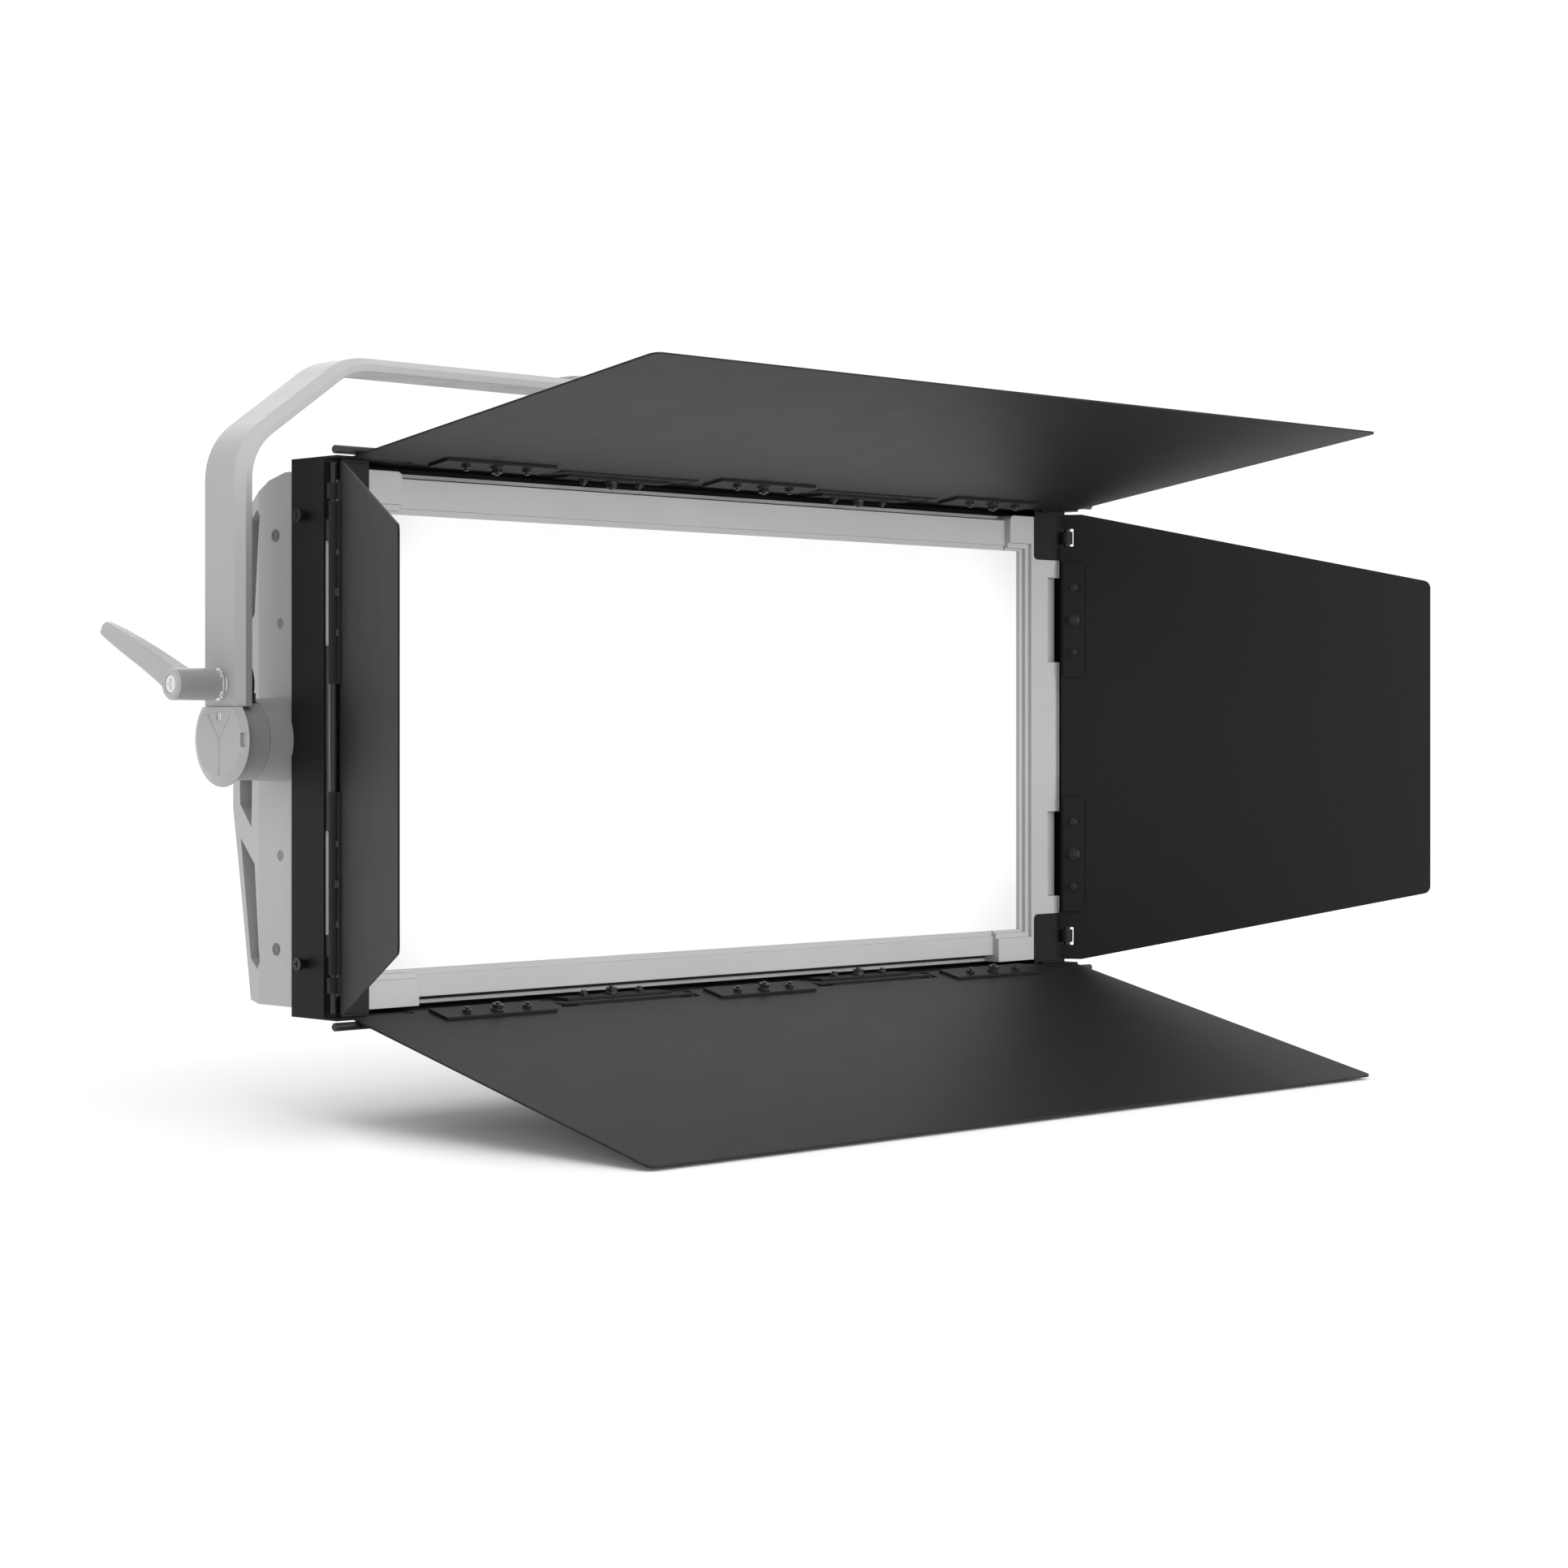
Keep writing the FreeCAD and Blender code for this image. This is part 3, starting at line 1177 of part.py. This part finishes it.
def bolt_holes(name, centres):
    return [cylinder(f"{name}_hole_{index}_{step}", "z", (f"{centre} + {26 * step}", BOLT_OUT,
                     f"{DOOR_FACE} - 10"), BOLT_SHANK, "20")
            for index, centre in enumerate(centres) for step in (-1, 0, 1)]


def door_bolts(name, centres):
    bolts = []
    for index, centre in enumerate(centres):
        for step in (-1, 0, 1):
            bolts.append(hinge_bolt(f"{name}_{index}_{step}", (f"{centre} + {26 * step}", BOLT_OUT),
                                    step == 0, f"{DOOR_FACE} + clamp_sheet",
                                    f"{DOOR_FACE} - door_sheet - clamp_plate_thickness"))
    return group(name, *bolts)


def wide_hinge_edge():
    """Hinge edge of the top and bottom doors: tabs under the clamps, notches between them."""
    edge = [("-door_half_width", "-3.5")]
    for centre in TOP_DOOR_TABS:
        left, right = f"{centre} - 60", f"{centre} + 60"
        before = "-3.5" if centre == TOP_DOOR_TABS[0] else "6.5"
        after = "-3.5" if centre == TOP_DOOR_TABS[-1] else "6.5"
        edge += [(left, before), (left, "-8"), (right, "-8"), (right, after)]
    edge.append(("door_half_width", "-3.5"))
    return edge


def tall_hinge_edge():
    """Hinge edge of the side doors: notched near both ends to clear the frame's lugs."""
    high = "side_door_half_height"
    upper = [("153", "-3.8"), ("153", "6.5"), ("167", "6.5"), ("167", "-3.8"),
             (high, "-3.8"), (high, "13")]
    lower = [(f"-({x})", y) for x, y in reversed(upper)]
    return lower + upper


def hinge_placement(rod, outwards, normal):
    """From a door's own frame to the fixture frame."""
    x_axis = outwards.cross(normal)
    turn = Rotation(x_axis, outwards, normal, "ZXY")
    return Placement(rod, turn)


def build_doors():
    rod_height = number_of("top_rod_height")
    rod_front = -number_of("top_rod_forward")
    side_reach = number_of("side_rod_reach")
    side_back = number_of("side_rod_back")
    up = math.radians(number_of("top_door_angle"))
    down = math.radians(number_of("bottom_door_angle"))
    left = math.radians(number_of("left_door_angle"))
    right = math.radians(number_of("right_door_angle"))
    places = {
        "top": hinge_placement(Vector(0, rod_front, rod_height),
                               Vector(0, -math.cos(up), math.sin(up)),
                               Vector(0, math.sin(up), math.cos(up))),
        "bottom": hinge_placement(Vector(0, rod_front, -rod_height),
                                  Vector(0, -math.cos(down), -math.sin(down)),
                                  Vector(0, math.sin(down), -math.cos(down))),
        "left": hinge_placement(Vector(-side_reach, side_back, 0),
                                Vector(-math.cos(left), -math.sin(left), 0),
                                Vector(-math.sin(left), math.cos(left), 0)),
        "right": hinge_placement(Vector(side_reach, side_back, 0),
                                 Vector(math.cos(right), -math.sin(right), 0),
                                 Vector(math.sin(right), math.cos(right), 0)),
    }
    for side, place in places.items():
        wide = side in ("top", "bottom")
        centres = TOP_DOOR_TABS if wide else ("-94", "94")
        edge = wide_hinge_edge() if wide else tall_hinge_edge()
        half_free = "door_half_free" if wide else "side_door_half_free"
        length = "door_length" if wide else "side_door_length"
        rod_half = "375" if wide else "178"
        blank = door_sheet(f"{side}_sheet", edge, half_free, length)
        finish(cut(f"{side}_sheet_cut", blank, *bolt_holes(f"{side}_sheet", centres)),
               f"door_{side}", place)
        rod = cylinder(f"{side}_rod_shape", "x", (f"-{rod_half}", "0", "0"), "rod_radius",
                       f"2*{rod_half}")
        finish(rod_with_round_ends(side, rod, rod_half), f"hinge_rod_{side}", place)
        saddle = "110" if wide else "118"
        plate = "clamp_plate_length" if wide else "92"
        flange = "14" if wide else "11.5"
        plate_start = "-5" if wide else "-1.5"
        finish(door_clamps(f"{side}_clamps", centres, saddle, plate, flange, plate_start),
               f"hinge_clamps_{side}", place)
        finish(door_bolts(f"{side}_bolts", centres), f"hinge_bolts_{side}", place)


def rod_with_round_ends(side, rod, rod_half):
    """The rod's ends are bevelled by a short cone at each end."""
    bevel = "0.8"
    ends = []
    for end, sign in (("far", 1), ("near", -1)):
        tip = doc.addObject("Part::Cone", f"{side}_{end}_tip")
        tip.Placement = Placement(Vector(sign * number_of(rod_half), 0, 0),
                                  Rotation(Vector(0, 1, 0), 90 * sign))
        bind(tip, "Radius1", "rod_radius")
        bind(tip, "Radius2", f"rod_radius - {bevel}")
        bind(tip, "Height", bevel)
        ends.append(tip)
    return fuse(f"{side}_rod_ends", rod, *ends)


build_yoke_bar()
build_mount_plate()
build_pivot_bushes()
build_end_cap("left", -1)
build_end_cap("right", 1)
build_end_cap_screws()
build_brake()
build_lever()
build_side_castings()
build_pivot_shafts()
build_housing()
build_heat_sink()
build_rear_cover()
build_controls()
build_bezel()
build_door_frame()
build_corner_brackets()
build_frame_screws()
build_frame_hinge_clamps()
build_doors()

doc.recompute()

# ---------------------------------------------------------------------------------------------
# Check and write
# ---------------------------------------------------------------------------------------------
for item in doc.Objects:
    if "Invalid" in item.State or "Error" in item.State:
        raise RuntimeError(f"{item.Name} ({item.Label}) failed: {item.State}")
labels = [piece.Label for piece in finished]
if len(set(labels)) != len(labels):
    raise RuntimeError("two sub-parts share a label")
for piece in finished:
    shape = piece.Shape
    if shape.isNull() or not shape.isValid() or not shape.Solids:
        raise RuntimeError(f"{piece.Label} has no valid shape")
for piece in finished:
    piece.Shape.exportStep(f"parts/{piece.Label}.step")
print(f"{len(finished)} sub-parts written")
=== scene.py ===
"""Looks for the LED panel light: camera, studio, materials and the small pieces the CAD leaves out."""

import json
import math

import bmesh
import bpy
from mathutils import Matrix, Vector


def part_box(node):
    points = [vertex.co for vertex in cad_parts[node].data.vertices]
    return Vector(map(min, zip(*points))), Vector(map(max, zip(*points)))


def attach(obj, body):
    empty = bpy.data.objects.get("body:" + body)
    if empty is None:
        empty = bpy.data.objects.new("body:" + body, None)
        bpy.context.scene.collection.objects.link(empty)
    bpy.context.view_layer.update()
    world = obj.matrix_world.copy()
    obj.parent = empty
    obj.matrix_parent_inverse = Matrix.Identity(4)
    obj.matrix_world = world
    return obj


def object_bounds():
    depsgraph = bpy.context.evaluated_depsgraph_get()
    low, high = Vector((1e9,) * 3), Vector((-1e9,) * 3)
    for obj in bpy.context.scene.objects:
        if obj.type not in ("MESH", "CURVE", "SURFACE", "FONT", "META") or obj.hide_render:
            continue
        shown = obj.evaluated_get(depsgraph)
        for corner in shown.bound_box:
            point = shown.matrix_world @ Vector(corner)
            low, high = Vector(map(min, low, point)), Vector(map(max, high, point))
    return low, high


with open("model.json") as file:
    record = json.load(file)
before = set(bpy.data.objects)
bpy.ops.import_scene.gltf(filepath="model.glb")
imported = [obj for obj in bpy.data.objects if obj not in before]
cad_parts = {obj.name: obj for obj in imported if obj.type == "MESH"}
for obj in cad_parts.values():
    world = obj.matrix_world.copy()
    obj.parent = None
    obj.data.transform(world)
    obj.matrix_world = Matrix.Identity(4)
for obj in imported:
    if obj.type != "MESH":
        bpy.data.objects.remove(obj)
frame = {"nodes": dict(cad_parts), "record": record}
cad_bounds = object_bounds()
scene = bpy.context.scene
record = frame["record"]


# ------------------------------------------------------------------ where things are
def joint_position(name):
    for joint in record["behaviour"]["joints"]:
        if joint["name"] == name:
            return Vector(joint["pos_m"])
    raise KeyError(name)


PIVOT = joint_position("head_tilt")
CASTING_FACE = 0.357   # outer face of each side casting, from the middle


# ------------------------------------------------------------------ camera
def add_camera():
    data = bpy.data.cameras.new("camera")
    data.lens = 74.04
    data.sensor_width = 36.0
    data.shift_y = -0.0334
    data.clip_end = 100.0
    camera = bpy.data.objects.new("camera", data)
    camera.location = (-1.6215, -1.7575, -0.2541)
    camera.rotation_euler = (math.radians(90), 0, math.radians(-44.592))
    scene.collection.objects.link(camera)
    scene.camera = camera


# ------------------------------------------------------------------ studio
FLOOR_GAP = 0.002
FLOOR_Z = cad_bounds[0][2] - FLOOR_GAP
AIM = (0, 0, -0.3)


def add_world():
    world = bpy.data.worlds.new("studio")
    world.use_nodes = True
    background = world.node_tree.nodes["Background"]
    background.inputs["Color"].default_value = (1, 1, 1, 1)
    background.inputs["Strength"].default_value = 1.06
    scene.world = world


def add_area(name, location, target, size, power):
    data = bpy.data.lights.new(name, "AREA")
    data.shape = "RECTANGLE"
    data.size, data.size_y = size
    data.energy = power
    light = bpy.data.objects.new(name, data)
    light.location = location
    aim = Vector(target) - Vector(location)
    light.rotation_euler = aim.to_track_quat("-Z", "Y").to_euler()
    scene.collection.objects.link(light)


def add_floor():
    mesh = bpy.data.meshes.new("floor")
    half = 30.0
    corners = [(-half, -half, FLOOR_Z), (half, -half, FLOOR_Z), (half, half, FLOOR_Z),
               (-half, half, FLOOR_Z)]
    mesh.from_pydata(corners, [], [(0, 1, 2, 3)])
    floor = bpy.data.objects.new("floor", mesh)
    scene.collection.objects.link(floor)
    floor.data.materials.append(surface("floor_paper", (0.97, 0.97, 0.97), 0.95, grain=0.004,
                                        bump=0.0, specular=0.0, wear_and_highlight=0.0, mottle=0.003,
                                        rough_change=0.01, edge=0.0))


# ------------------------------------------------------------------ materials
class Graph:
    """A short way to write a shader's nodes."""

    def __init__(self, name):
        self.material = bpy.data.materials.new(name)
        self.material.use_nodes = True
        self.tree = self.material.node_tree
        self.tree.nodes.clear()
        self.output = self.node("ShaderNodeOutputMaterial")
        self.shader = self.node("ShaderNodeBsdfPrincipled")
        self.join(self.shader, "BSDF", self.output, "Surface")
        self.place = self.node("ShaderNodeTexCoord")

    def node(self, kind, **settings):
        node = self.tree.nodes.new(kind)
        for key, value in settings.items():
            setattr(node, key, value)
        return node

    def join(self, source, output, target, entry):
        self.tree.links.new(source.outputs[output], target.inputs[entry])

    def noise(self, size, detail=3.0, roughness=0.55, stretch=(1, 1, 1)):
        """Noise whose features are about 'size' metres across."""
        mapping = self.node("ShaderNodeMapping")
        mapping.inputs["Scale"].default_value = stretch
        noise = self.node("ShaderNodeTexNoise")
        noise.inputs["Scale"].default_value = 1.0 / size
        noise.inputs["Detail"].default_value = detail
        noise.inputs["Roughness"].default_value = roughness
        self.join(self.place, "Object", mapping, "Vector")
        self.join(mapping, "Vector", noise, "Vector")
        return noise

    def ramp(self, source, output, low, high, to_low, to_high):
        change = self.node("ShaderNodeMapRange")
        change.inputs["From Min"].default_value = low
        change.inputs["From Max"].default_value = high
        change.inputs["To Min"].default_value = to_low
        change.inputs["To Max"].default_value = to_high
        self.join(source, output, change, "Value")
        return change

    def mix(self, factor, factor_output, first, second):
        """Mix two colours; either may be a (node, output) pair."""
        mix = self.node("ShaderNodeMix", data_type="RGBA")
        self.tree.links.new(factor.outputs[factor_output], mix.inputs[0])
        for entry, colour in ((6, first), (7, second)):
            if isinstance(colour[0], bpy.types.Node):
                self.tree.links.new(colour[0].outputs[colour[1]], mix.inputs[entry])
            else:
                mix.inputs[entry].default_value = (*colour, 1)
        return mix, 2

    def edges(self, radius):
        """(bevelled normal node, node giving 1 on sharp edges and 0 on flats)."""
        bevel = self.node("ShaderNodeBevel", samples=4)
        bevel.inputs["Radius"].default_value = radius
        geometry = self.node("ShaderNodeNewGeometry")
        dot = self.node("ShaderNodeVectorMath", operation="DOT_PRODUCT")
        self.join(bevel, "Normal", dot, 0)
        self.join(geometry, "Normal", dot, 1)
        sharp = self.ramp(dot, "Value", 0.995, 0.88, 0.0, 1.0)
        return bevel, sharp


def surface(name, base, rough, metallic=0.0, grain=0.0006, bump=0.05, specular=0.5, wear_and_highlight=0.25,
            wear_and_highlight_colour=None, mottle=0.06, mottle_size=0.09, rough_change=0.06, edge=0.0005,
            coat=0.0, coat_rough=0.2, brushed=None, emission=0.0):
    """A painted, plastic or metal surface with grain, mottling, uneven gloss, and sharp edges
    lightened partly as worn paint and partly as a painted edge highlight.
    """
    graph = Graph(name)
    shader = graph.shader
    shader.inputs["Metallic"].default_value = metallic
    shader.inputs["Specular IOR Level"].default_value = specular
    shader.inputs["Coat Weight"].default_value = coat
    shader.inputs["Coat Roughness"].default_value = coat_rough

    cloud = graph.noise(mottle_size, detail=4)
    darker = tuple(channel * (1 - mottle) for channel in base)
    lighter = tuple(min(1.0, channel * (1 + mottle)) for channel in base)
    patch = graph.ramp(cloud, "Fac", 0.3, 0.7, 0, 1)
    colour = graph.mix(patch, "Result", darker, lighter)

    stretch = brushed or (1, 1, 1)
    fine = graph.noise(grain, detail=2, stretch=stretch)
    speck = graph.ramp(fine, "Fac", 0.35, 0.65, 0, 1)
    speckled = graph.mix(graph.ramp(fine, "Fac", 0.55, 0.8, 0, 0.35), "Result", colour,
                         tuple(min(1.0, channel * 1.25 + 0.004) for channel in base))
    final = speckled
    bevel = None
    if edge > 0:
        bevel, sharp = graph.edges(edge)
        # Sharp edges get a lighter colour: partly paint worn through, partly a painted edge highlight.
        if wear_and_highlight > 0:
            worn_and_highlight_colour = wear_and_highlight_colour or tuple(min(1.0, channel * 1.5 + 0.03) for channel in base)
            edge_break_noise = graph.noise(0.012, detail=5)
            broken = graph.ramp(edge_break_noise, "Fac", 0.35, 0.65, 0.35, 1.0)
            amount = graph.node("ShaderNodeMath", operation="MULTIPLY")
            graph.join(sharp, "Result", amount, 0)
            graph.join(broken, "Result", amount, 1)
            scaled = graph.node("ShaderNodeMath", operation="MULTIPLY", use_clamp=True)
            graph.join(amount, "Value", scaled, 0)
            scaled.inputs[1].default_value = wear_and_highlight
            final = graph.mix(scaled, "Value", speckled, worn_and_highlight_colour)
    graph.tree.links.new(final[0].outputs[final[1]], shader.inputs["Base Color"])

    smudge = graph.noise(0.035, detail=6, roughness=0.65)
    gloss = graph.ramp(smudge, "Fac", 0.3, 0.7, rough - rough_change, rough + rough_change)
    grit = graph.node("ShaderNodeMath", operation="MULTIPLY_ADD")
    graph.join(speck, "Result", grit, 0)
    grit.inputs[1].default_value = rough_change * 0.5
    graph.join(gloss, "Result", grit, 2)
    graph.join(grit, "Value", shader, "Roughness")

    relief = graph.node("ShaderNodeBump")
    relief.inputs["Strength"].default_value = bump
    relief.inputs["Distance"].default_value = 0.0002
    graph.join(fine, "Fac", relief, "Height")
    if bevel:
        graph.join(bevel, "Normal", relief, "Normal")
    graph.join(relief, "Normal", shader, "Normal")
    if emission:
        shader.inputs["Emission Color"].default_value = (*base, 1)
        shader.inputs["Emission Strength"].default_value = emission
    return graph.material


def glowing_diffuser(name, low, high):
    """Opal acrylic lit from behind, a little weaker towards its edges."""
    graph = Graph(name)
    shader = graph.shader
    centre = (Vector(low) + Vector(high)) / 2
    half = (Vector(high) - Vector(low)) / 2
    split = graph.node("ShaderNodeSeparateXYZ")
    graph.join(graph.place, "Object", split, "Vector")
    fades = []
    for axis, index in (("X", 0), ("Z", 2)):
        offset = graph.node("ShaderNodeMath", operation="SUBTRACT")
        graph.join(split, axis, offset, 0)
        offset.inputs[1].default_value = centre[index]
        away = graph.node("ShaderNodeMath", operation="ABSOLUTE")
        graph.join(offset, "Value", away, 0)
        fade = graph.node("ShaderNodeMapRange", interpolation_type="SMOOTHSTEP")
        fade.inputs["From Min"].default_value = half[index] - 0.075
        fade.inputs["From Max"].default_value = half[index] + 0.01
        fade.inputs["To Min"].default_value = 1.0
        fade.inputs["To Max"].default_value = 0.80
        graph.join(away, "Value", fade, "Value")
        fades.append(fade)
    both = graph.node("ShaderNodeMath", operation="MULTIPLY")
    graph.join(fades[0], "Result", both, 0)
    graph.join(fades[1], "Result", both, 1)
    cells = graph.noise(0.05, detail=2)
    gentle = graph.ramp(cells, "Fac", 0.3, 0.7, 0.985, 1.015)
    glow = graph.node("ShaderNodeMath", operation="MULTIPLY")
    graph.join(both, "Value", glow, 0)
    graph.join(gentle, "Result", glow, 1)
    strength = graph.node("ShaderNodeMath", operation="MULTIPLY")
    graph.join(glow, "Value", strength, 0)
    strength.inputs[1].default_value = 1.0
    graph.join(strength, "Value", shader, "Emission Strength")
    shader.inputs["Emission Color"].default_value = (1, 1, 1, 1)
    tint = graph.mix(gentle, "Result", (0.10, 0.10, 0.10), (0.12, 0.12, 0.12))
    graph.tree.links.new(tint[0].outputs[tint[1]], shader.inputs["Base Color"])
    frost = graph.noise(0.0008, detail=2)
    matt = graph.ramp(frost, "Fac", 0.3, 0.7, 0.5, 0.62)
    graph.join(matt, "Result", shader, "Roughness")
    relief = graph.node("ShaderNodeBump")
    relief.inputs["Strength"].default_value = 0.05
    relief.inputs["Distance"].default_value = 0.0002
    graph.join(frost, "Fac", relief, "Height")
    graph.join(relief, "Normal", shader, "Normal")
    return graph.material


add_camera()
add_world()

GREY = (0.385, 0.385, 0.388)
BLACK = (0.012, 0.012, 0.0125)
LOOKS = {
    "yoke_grey": surface("yoke_paint", (0.36, 0.36, 0.365), 0.42, bump=0.12, mottle=0.025,
                         wear_and_highlight=0.35, wear_and_highlight_colour=(0.62, 0.62, 0.62), edge=0.0007),
    "head_grey": surface("head_paint", GREY, 0.48, bump=0.12, mottle=0.025, wear_and_highlight=0.3,
                         wear_and_highlight_colour=(0.60, 0.60, 0.60), edge=0.0006),
    "sink_aluminium": surface("sink_anodised", (0.36, 0.36, 0.37), 0.38, metallic=0.85,
                              brushed=(1, 1, 0.04), bump=0.15, mottle=0.04, edge=0.0003),
    "bush_brass": surface("bush_metal", (0.55, 0.38, 0.14), 0.3, metallic=1.0,
                          brushed=(0.1, 1, 1), bump=0.1),
    "plain_steel": surface("turned_steel", (0.46, 0.46, 0.47), 0.28, metallic=1.0,
                           brushed=(0.15, 1, 1), bump=0.12, mottle=0.05),
    "bright_steel": surface("nickel", (0.72, 0.72, 0.73), 0.12, metallic=1.0, grain=0.0004,
                            bump=0.05, rough_change=0.04, edge=0.0004),
    "friction_lining": surface("lining", (0.030, 0.026, 0.022), 0.85, bump=0.4, mottle=0.2,
                               specular=0.3),
    "lever_grey": surface("lever_paint", (0.37, 0.37, 0.375), 0.36, bump=0.10, mottle=0.03,
                          wear_and_highlight=0.45, wear_and_highlight_colour=(0.6, 0.6, 0.6), edge=0.0008),
    "board_white": surface("board_mask", (0.75, 0.76, 0.73), 0.4, bump=0.05),
    "tray_white": surface("reflector_film", (0.85, 0.85, 0.85), 0.6, bump=0.05),
    "potted_black": surface("potting", (0.02, 0.02, 0.02), 0.5, bump=0.3),
    "board_green": surface("green_mask", (0.02, 0.10, 0.04), 0.35, bump=0.1),
    "panel_black": surface("panel_film", (0.018, 0.018, 0.020), 0.45, grain=0.0004, bump=0.12,
                           mottle=0.08, wear_and_highlight=0.2),
    "display_dark": surface("display_glass", (0.006, 0.009, 0.012), 0.08, grain=0.0005,
                            bump=0.01, coat=0.6, coat_rough=0.04, rough_change=0.02, wear_and_highlight=0.0),
    "knob_black": surface("knob_rubber", (0.016, 0.016, 0.016), 0.62, grain=0.0004, bump=0.3,
                          mottle=0.1, wear_and_highlight=0.25),
    "button_rubber": surface("button_rubber_skin", (0.035, 0.035, 0.036), 0.7, grain=0.0004,
                             bump=0.25, mottle=0.1, wear_and_highlight=0.2),
    "door_black": surface("door_coat", BLACK, 0.52, grain=0.0007, bump=0.06, mottle=0.025,
                          mottle_size=0.3, specular=0.16, wear_and_highlight=0.30,
                          wear_and_highlight_colour=(0.07, 0.07, 0.07), rough_change=0.012, edge=0.0006),
    "black_steel": surface("black_oxide", (0.014, 0.014, 0.015), 0.34, metallic=0.35,
                           grain=0.0004, bump=0.10, mottle=0.12, wear_and_highlight=0.6,
                           wear_and_highlight_colour=(0.20, 0.20, 0.20), edge=0.0004),
}
LOOKS["diffuser_white"] = glowing_diffuser("opal_diffuser", *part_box("diffuser"))

# Painted shade: the door frame and the left door are the same black powder coat as the other doors,
# drawn darker and with less specular.
SHADE_BLACK = (0.007, 0.007, 0.0075)
SHADED_FRAME_COAT = surface("frame_coat_painted_shade", SHADE_BLACK, 0.5, grain=0.0007, bump=0.06, mottle=0.03,
                    mottle_size=0.3, specular=0.14, wear_and_highlight=0.30, wear_and_highlight_colour=(0.06, 0.06, 0.06),
                    rough_change=0.012, edge=0.0006)
SHADED_SIDE_DOOR_COAT = surface("side_door_coat_painted_shade", SHADE_BLACK, 0.55, grain=0.0007, bump=0.06, mottle=0.03,
                    mottle_size=0.3, specular=0.09, wear_and_highlight=0.30, wear_and_highlight_colour=(0.06, 0.06, 0.06),
                    rough_change=0.012, edge=0.0006)
# The screws in the castings are painted over with them
NODE_LOOKS = {
    "clamp_stud": LOOKS["bright_steel"],
    "clamp_washer": LOOKS["bright_steel"],
    # The frame and the left door take the darker painted-shade copies of the door coat.
    "door_frame": SHADED_FRAME_COAT,
    "door_left": SHADED_SIDE_DOOR_COAT,
    "side_screws": surface("painted_screws", (0.20, 0.20, 0.205), 0.45, bump=0.1, wear_and_highlight=0.3,
                           mottle=0.03, edge=0.0003),
}
for subpart in record["subparts"]:
    node = frame["nodes"][subpart["node"]]
    node.data.materials.clear()
    node.data.materials.append(
        NODE_LOOKS.get(subpart["node"], LOOKS[subpart["material_slot"]]))



# ------------------------------------------------------------------ small pieces
def new_piece(name, points, faces, material, body):
    """A closed mesh that moves with a body and takes the material it is given."""
    mesh = bpy.data.meshes.new(name)
    mesh.from_pydata(points, [], faces)
    tool = bmesh.new()
    tool.from_mesh(mesh)
    bmesh.ops.recalc_face_normals(tool, faces=tool.faces)
    tool.to_mesh(mesh)
    tool.free()
    mesh.materials.append(material)
    piece = bpy.data.objects.new(name, mesh)
    scene.collection.objects.link(piece)
    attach(piece, body)
    return piece


def turned(name, centre, outwards, profile, material, body, sides=40):
    """A turned piece about X: the profile is (radius, height above the face)."""
    points, faces = [], []
    for radius, height in profile:
        for step in range(sides):
            turn = 2 * math.pi * step / sides
            points.append((centre[0] + outwards * height, centre[1] + radius * math.cos(turn),
                           centre[2] + radius * math.sin(turn)))
    for ring in range(len(profile) - 1):
        for step in range(sides):
            after = (step + 1) % sides
            low, high = ring * sides, (ring + 1) * sides
            faces.append((low + step, low + after, high + after, high + step))
    faces.append(tuple(range(sides)))
    last = (len(profile) - 1) * sides
    faces.append(tuple(range(last, last + sides)))
    return new_piece(name, points, faces, material, body)


def rib(name, face_x, outwards, start, end, wide, narrow, height, material, body):
    """A tapered rib with sloping flanks on a face across X, from start to end in (y, z)."""
    along = Vector((end[0] - start[0], end[1] - start[1])).normalized()
    across = Vector((-along.y, along.x))
    points = []
    for spot, width in ((start, wide), (end, narrow)):
        for side, lift in ((-1, -0.0002), (-0.45, height), (0.45, height), (1, -0.0002)):
            points.append((face_x + outwards * lift, spot[0] + across.x * width * side,
                           spot[1] + across.y * width * side))
    faces = [(0, 1, 5, 4), (1, 2, 6, 5), (2, 3, 7, 6), (3, 0, 4, 7), (0, 3, 2, 1), (4, 5, 6, 7)]
    return new_piece(name, points, faces, material, body)


def add_side_details():
    """Plugs on both castings and the three-armed relief on both end caps."""
    plug = surface("plug_plastic", (0.13, 0.13, 0.132), 0.5, bump=0.1, mottle=0.04, wear_and_highlight=0.2,
                   edge=0.0002)
    plug_profile = ((0.0042, -0.0003), (0.0042, 0.0002), (0.0038, 0.0006), (0.0026, 0.0006),
                    (0.0022, 0.0003), (0.0006, 0.0003))
    for side, sign in (("left", -1), ("right", 1)):
        for spot, (back, high) in (("upper", (0.0067, -0.1238)), ("lower", (0.0058, -0.3988))):
            turned(f"casting_plug_{side}_{spot}", (sign * CASTING_FACE, back, high), sign,
                   plug_profile, plug, "head")
        low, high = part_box(f"end_cap_{side}")
        face = low[0] if sign < 0 else high[0]
        for arm, (reach_y, reach_z) in enumerate(((-0.0125, 0.0165), (0.0125, 0.0165),
                                                  (0.0, -0.0235))):
            rib(f"cap_relief_{side}_{arm}", face, sign, (PIVOT.y, PIVOT.z),
                (PIVOT.y + reach_y, PIVOT.z + reach_z), 0.0011, 0.0006, 0.0004,
                LOOKS["yoke_grey"], "yoke")


add_side_details()
add_floor()
add_area("key", (-0.9, -2.6, 1.9), AIM, (2.6, 2.0), 16)
add_area("fill", (0.1, -3.2, 0.2), AIM, (2.4, 2.0), 78)
add_area("back", (0.6, 2.4, 1.6), AIM, (2.4, 1.2), 14)

scene.view_settings.view_transform = "Standard"
scene.view_settings.look = "None"
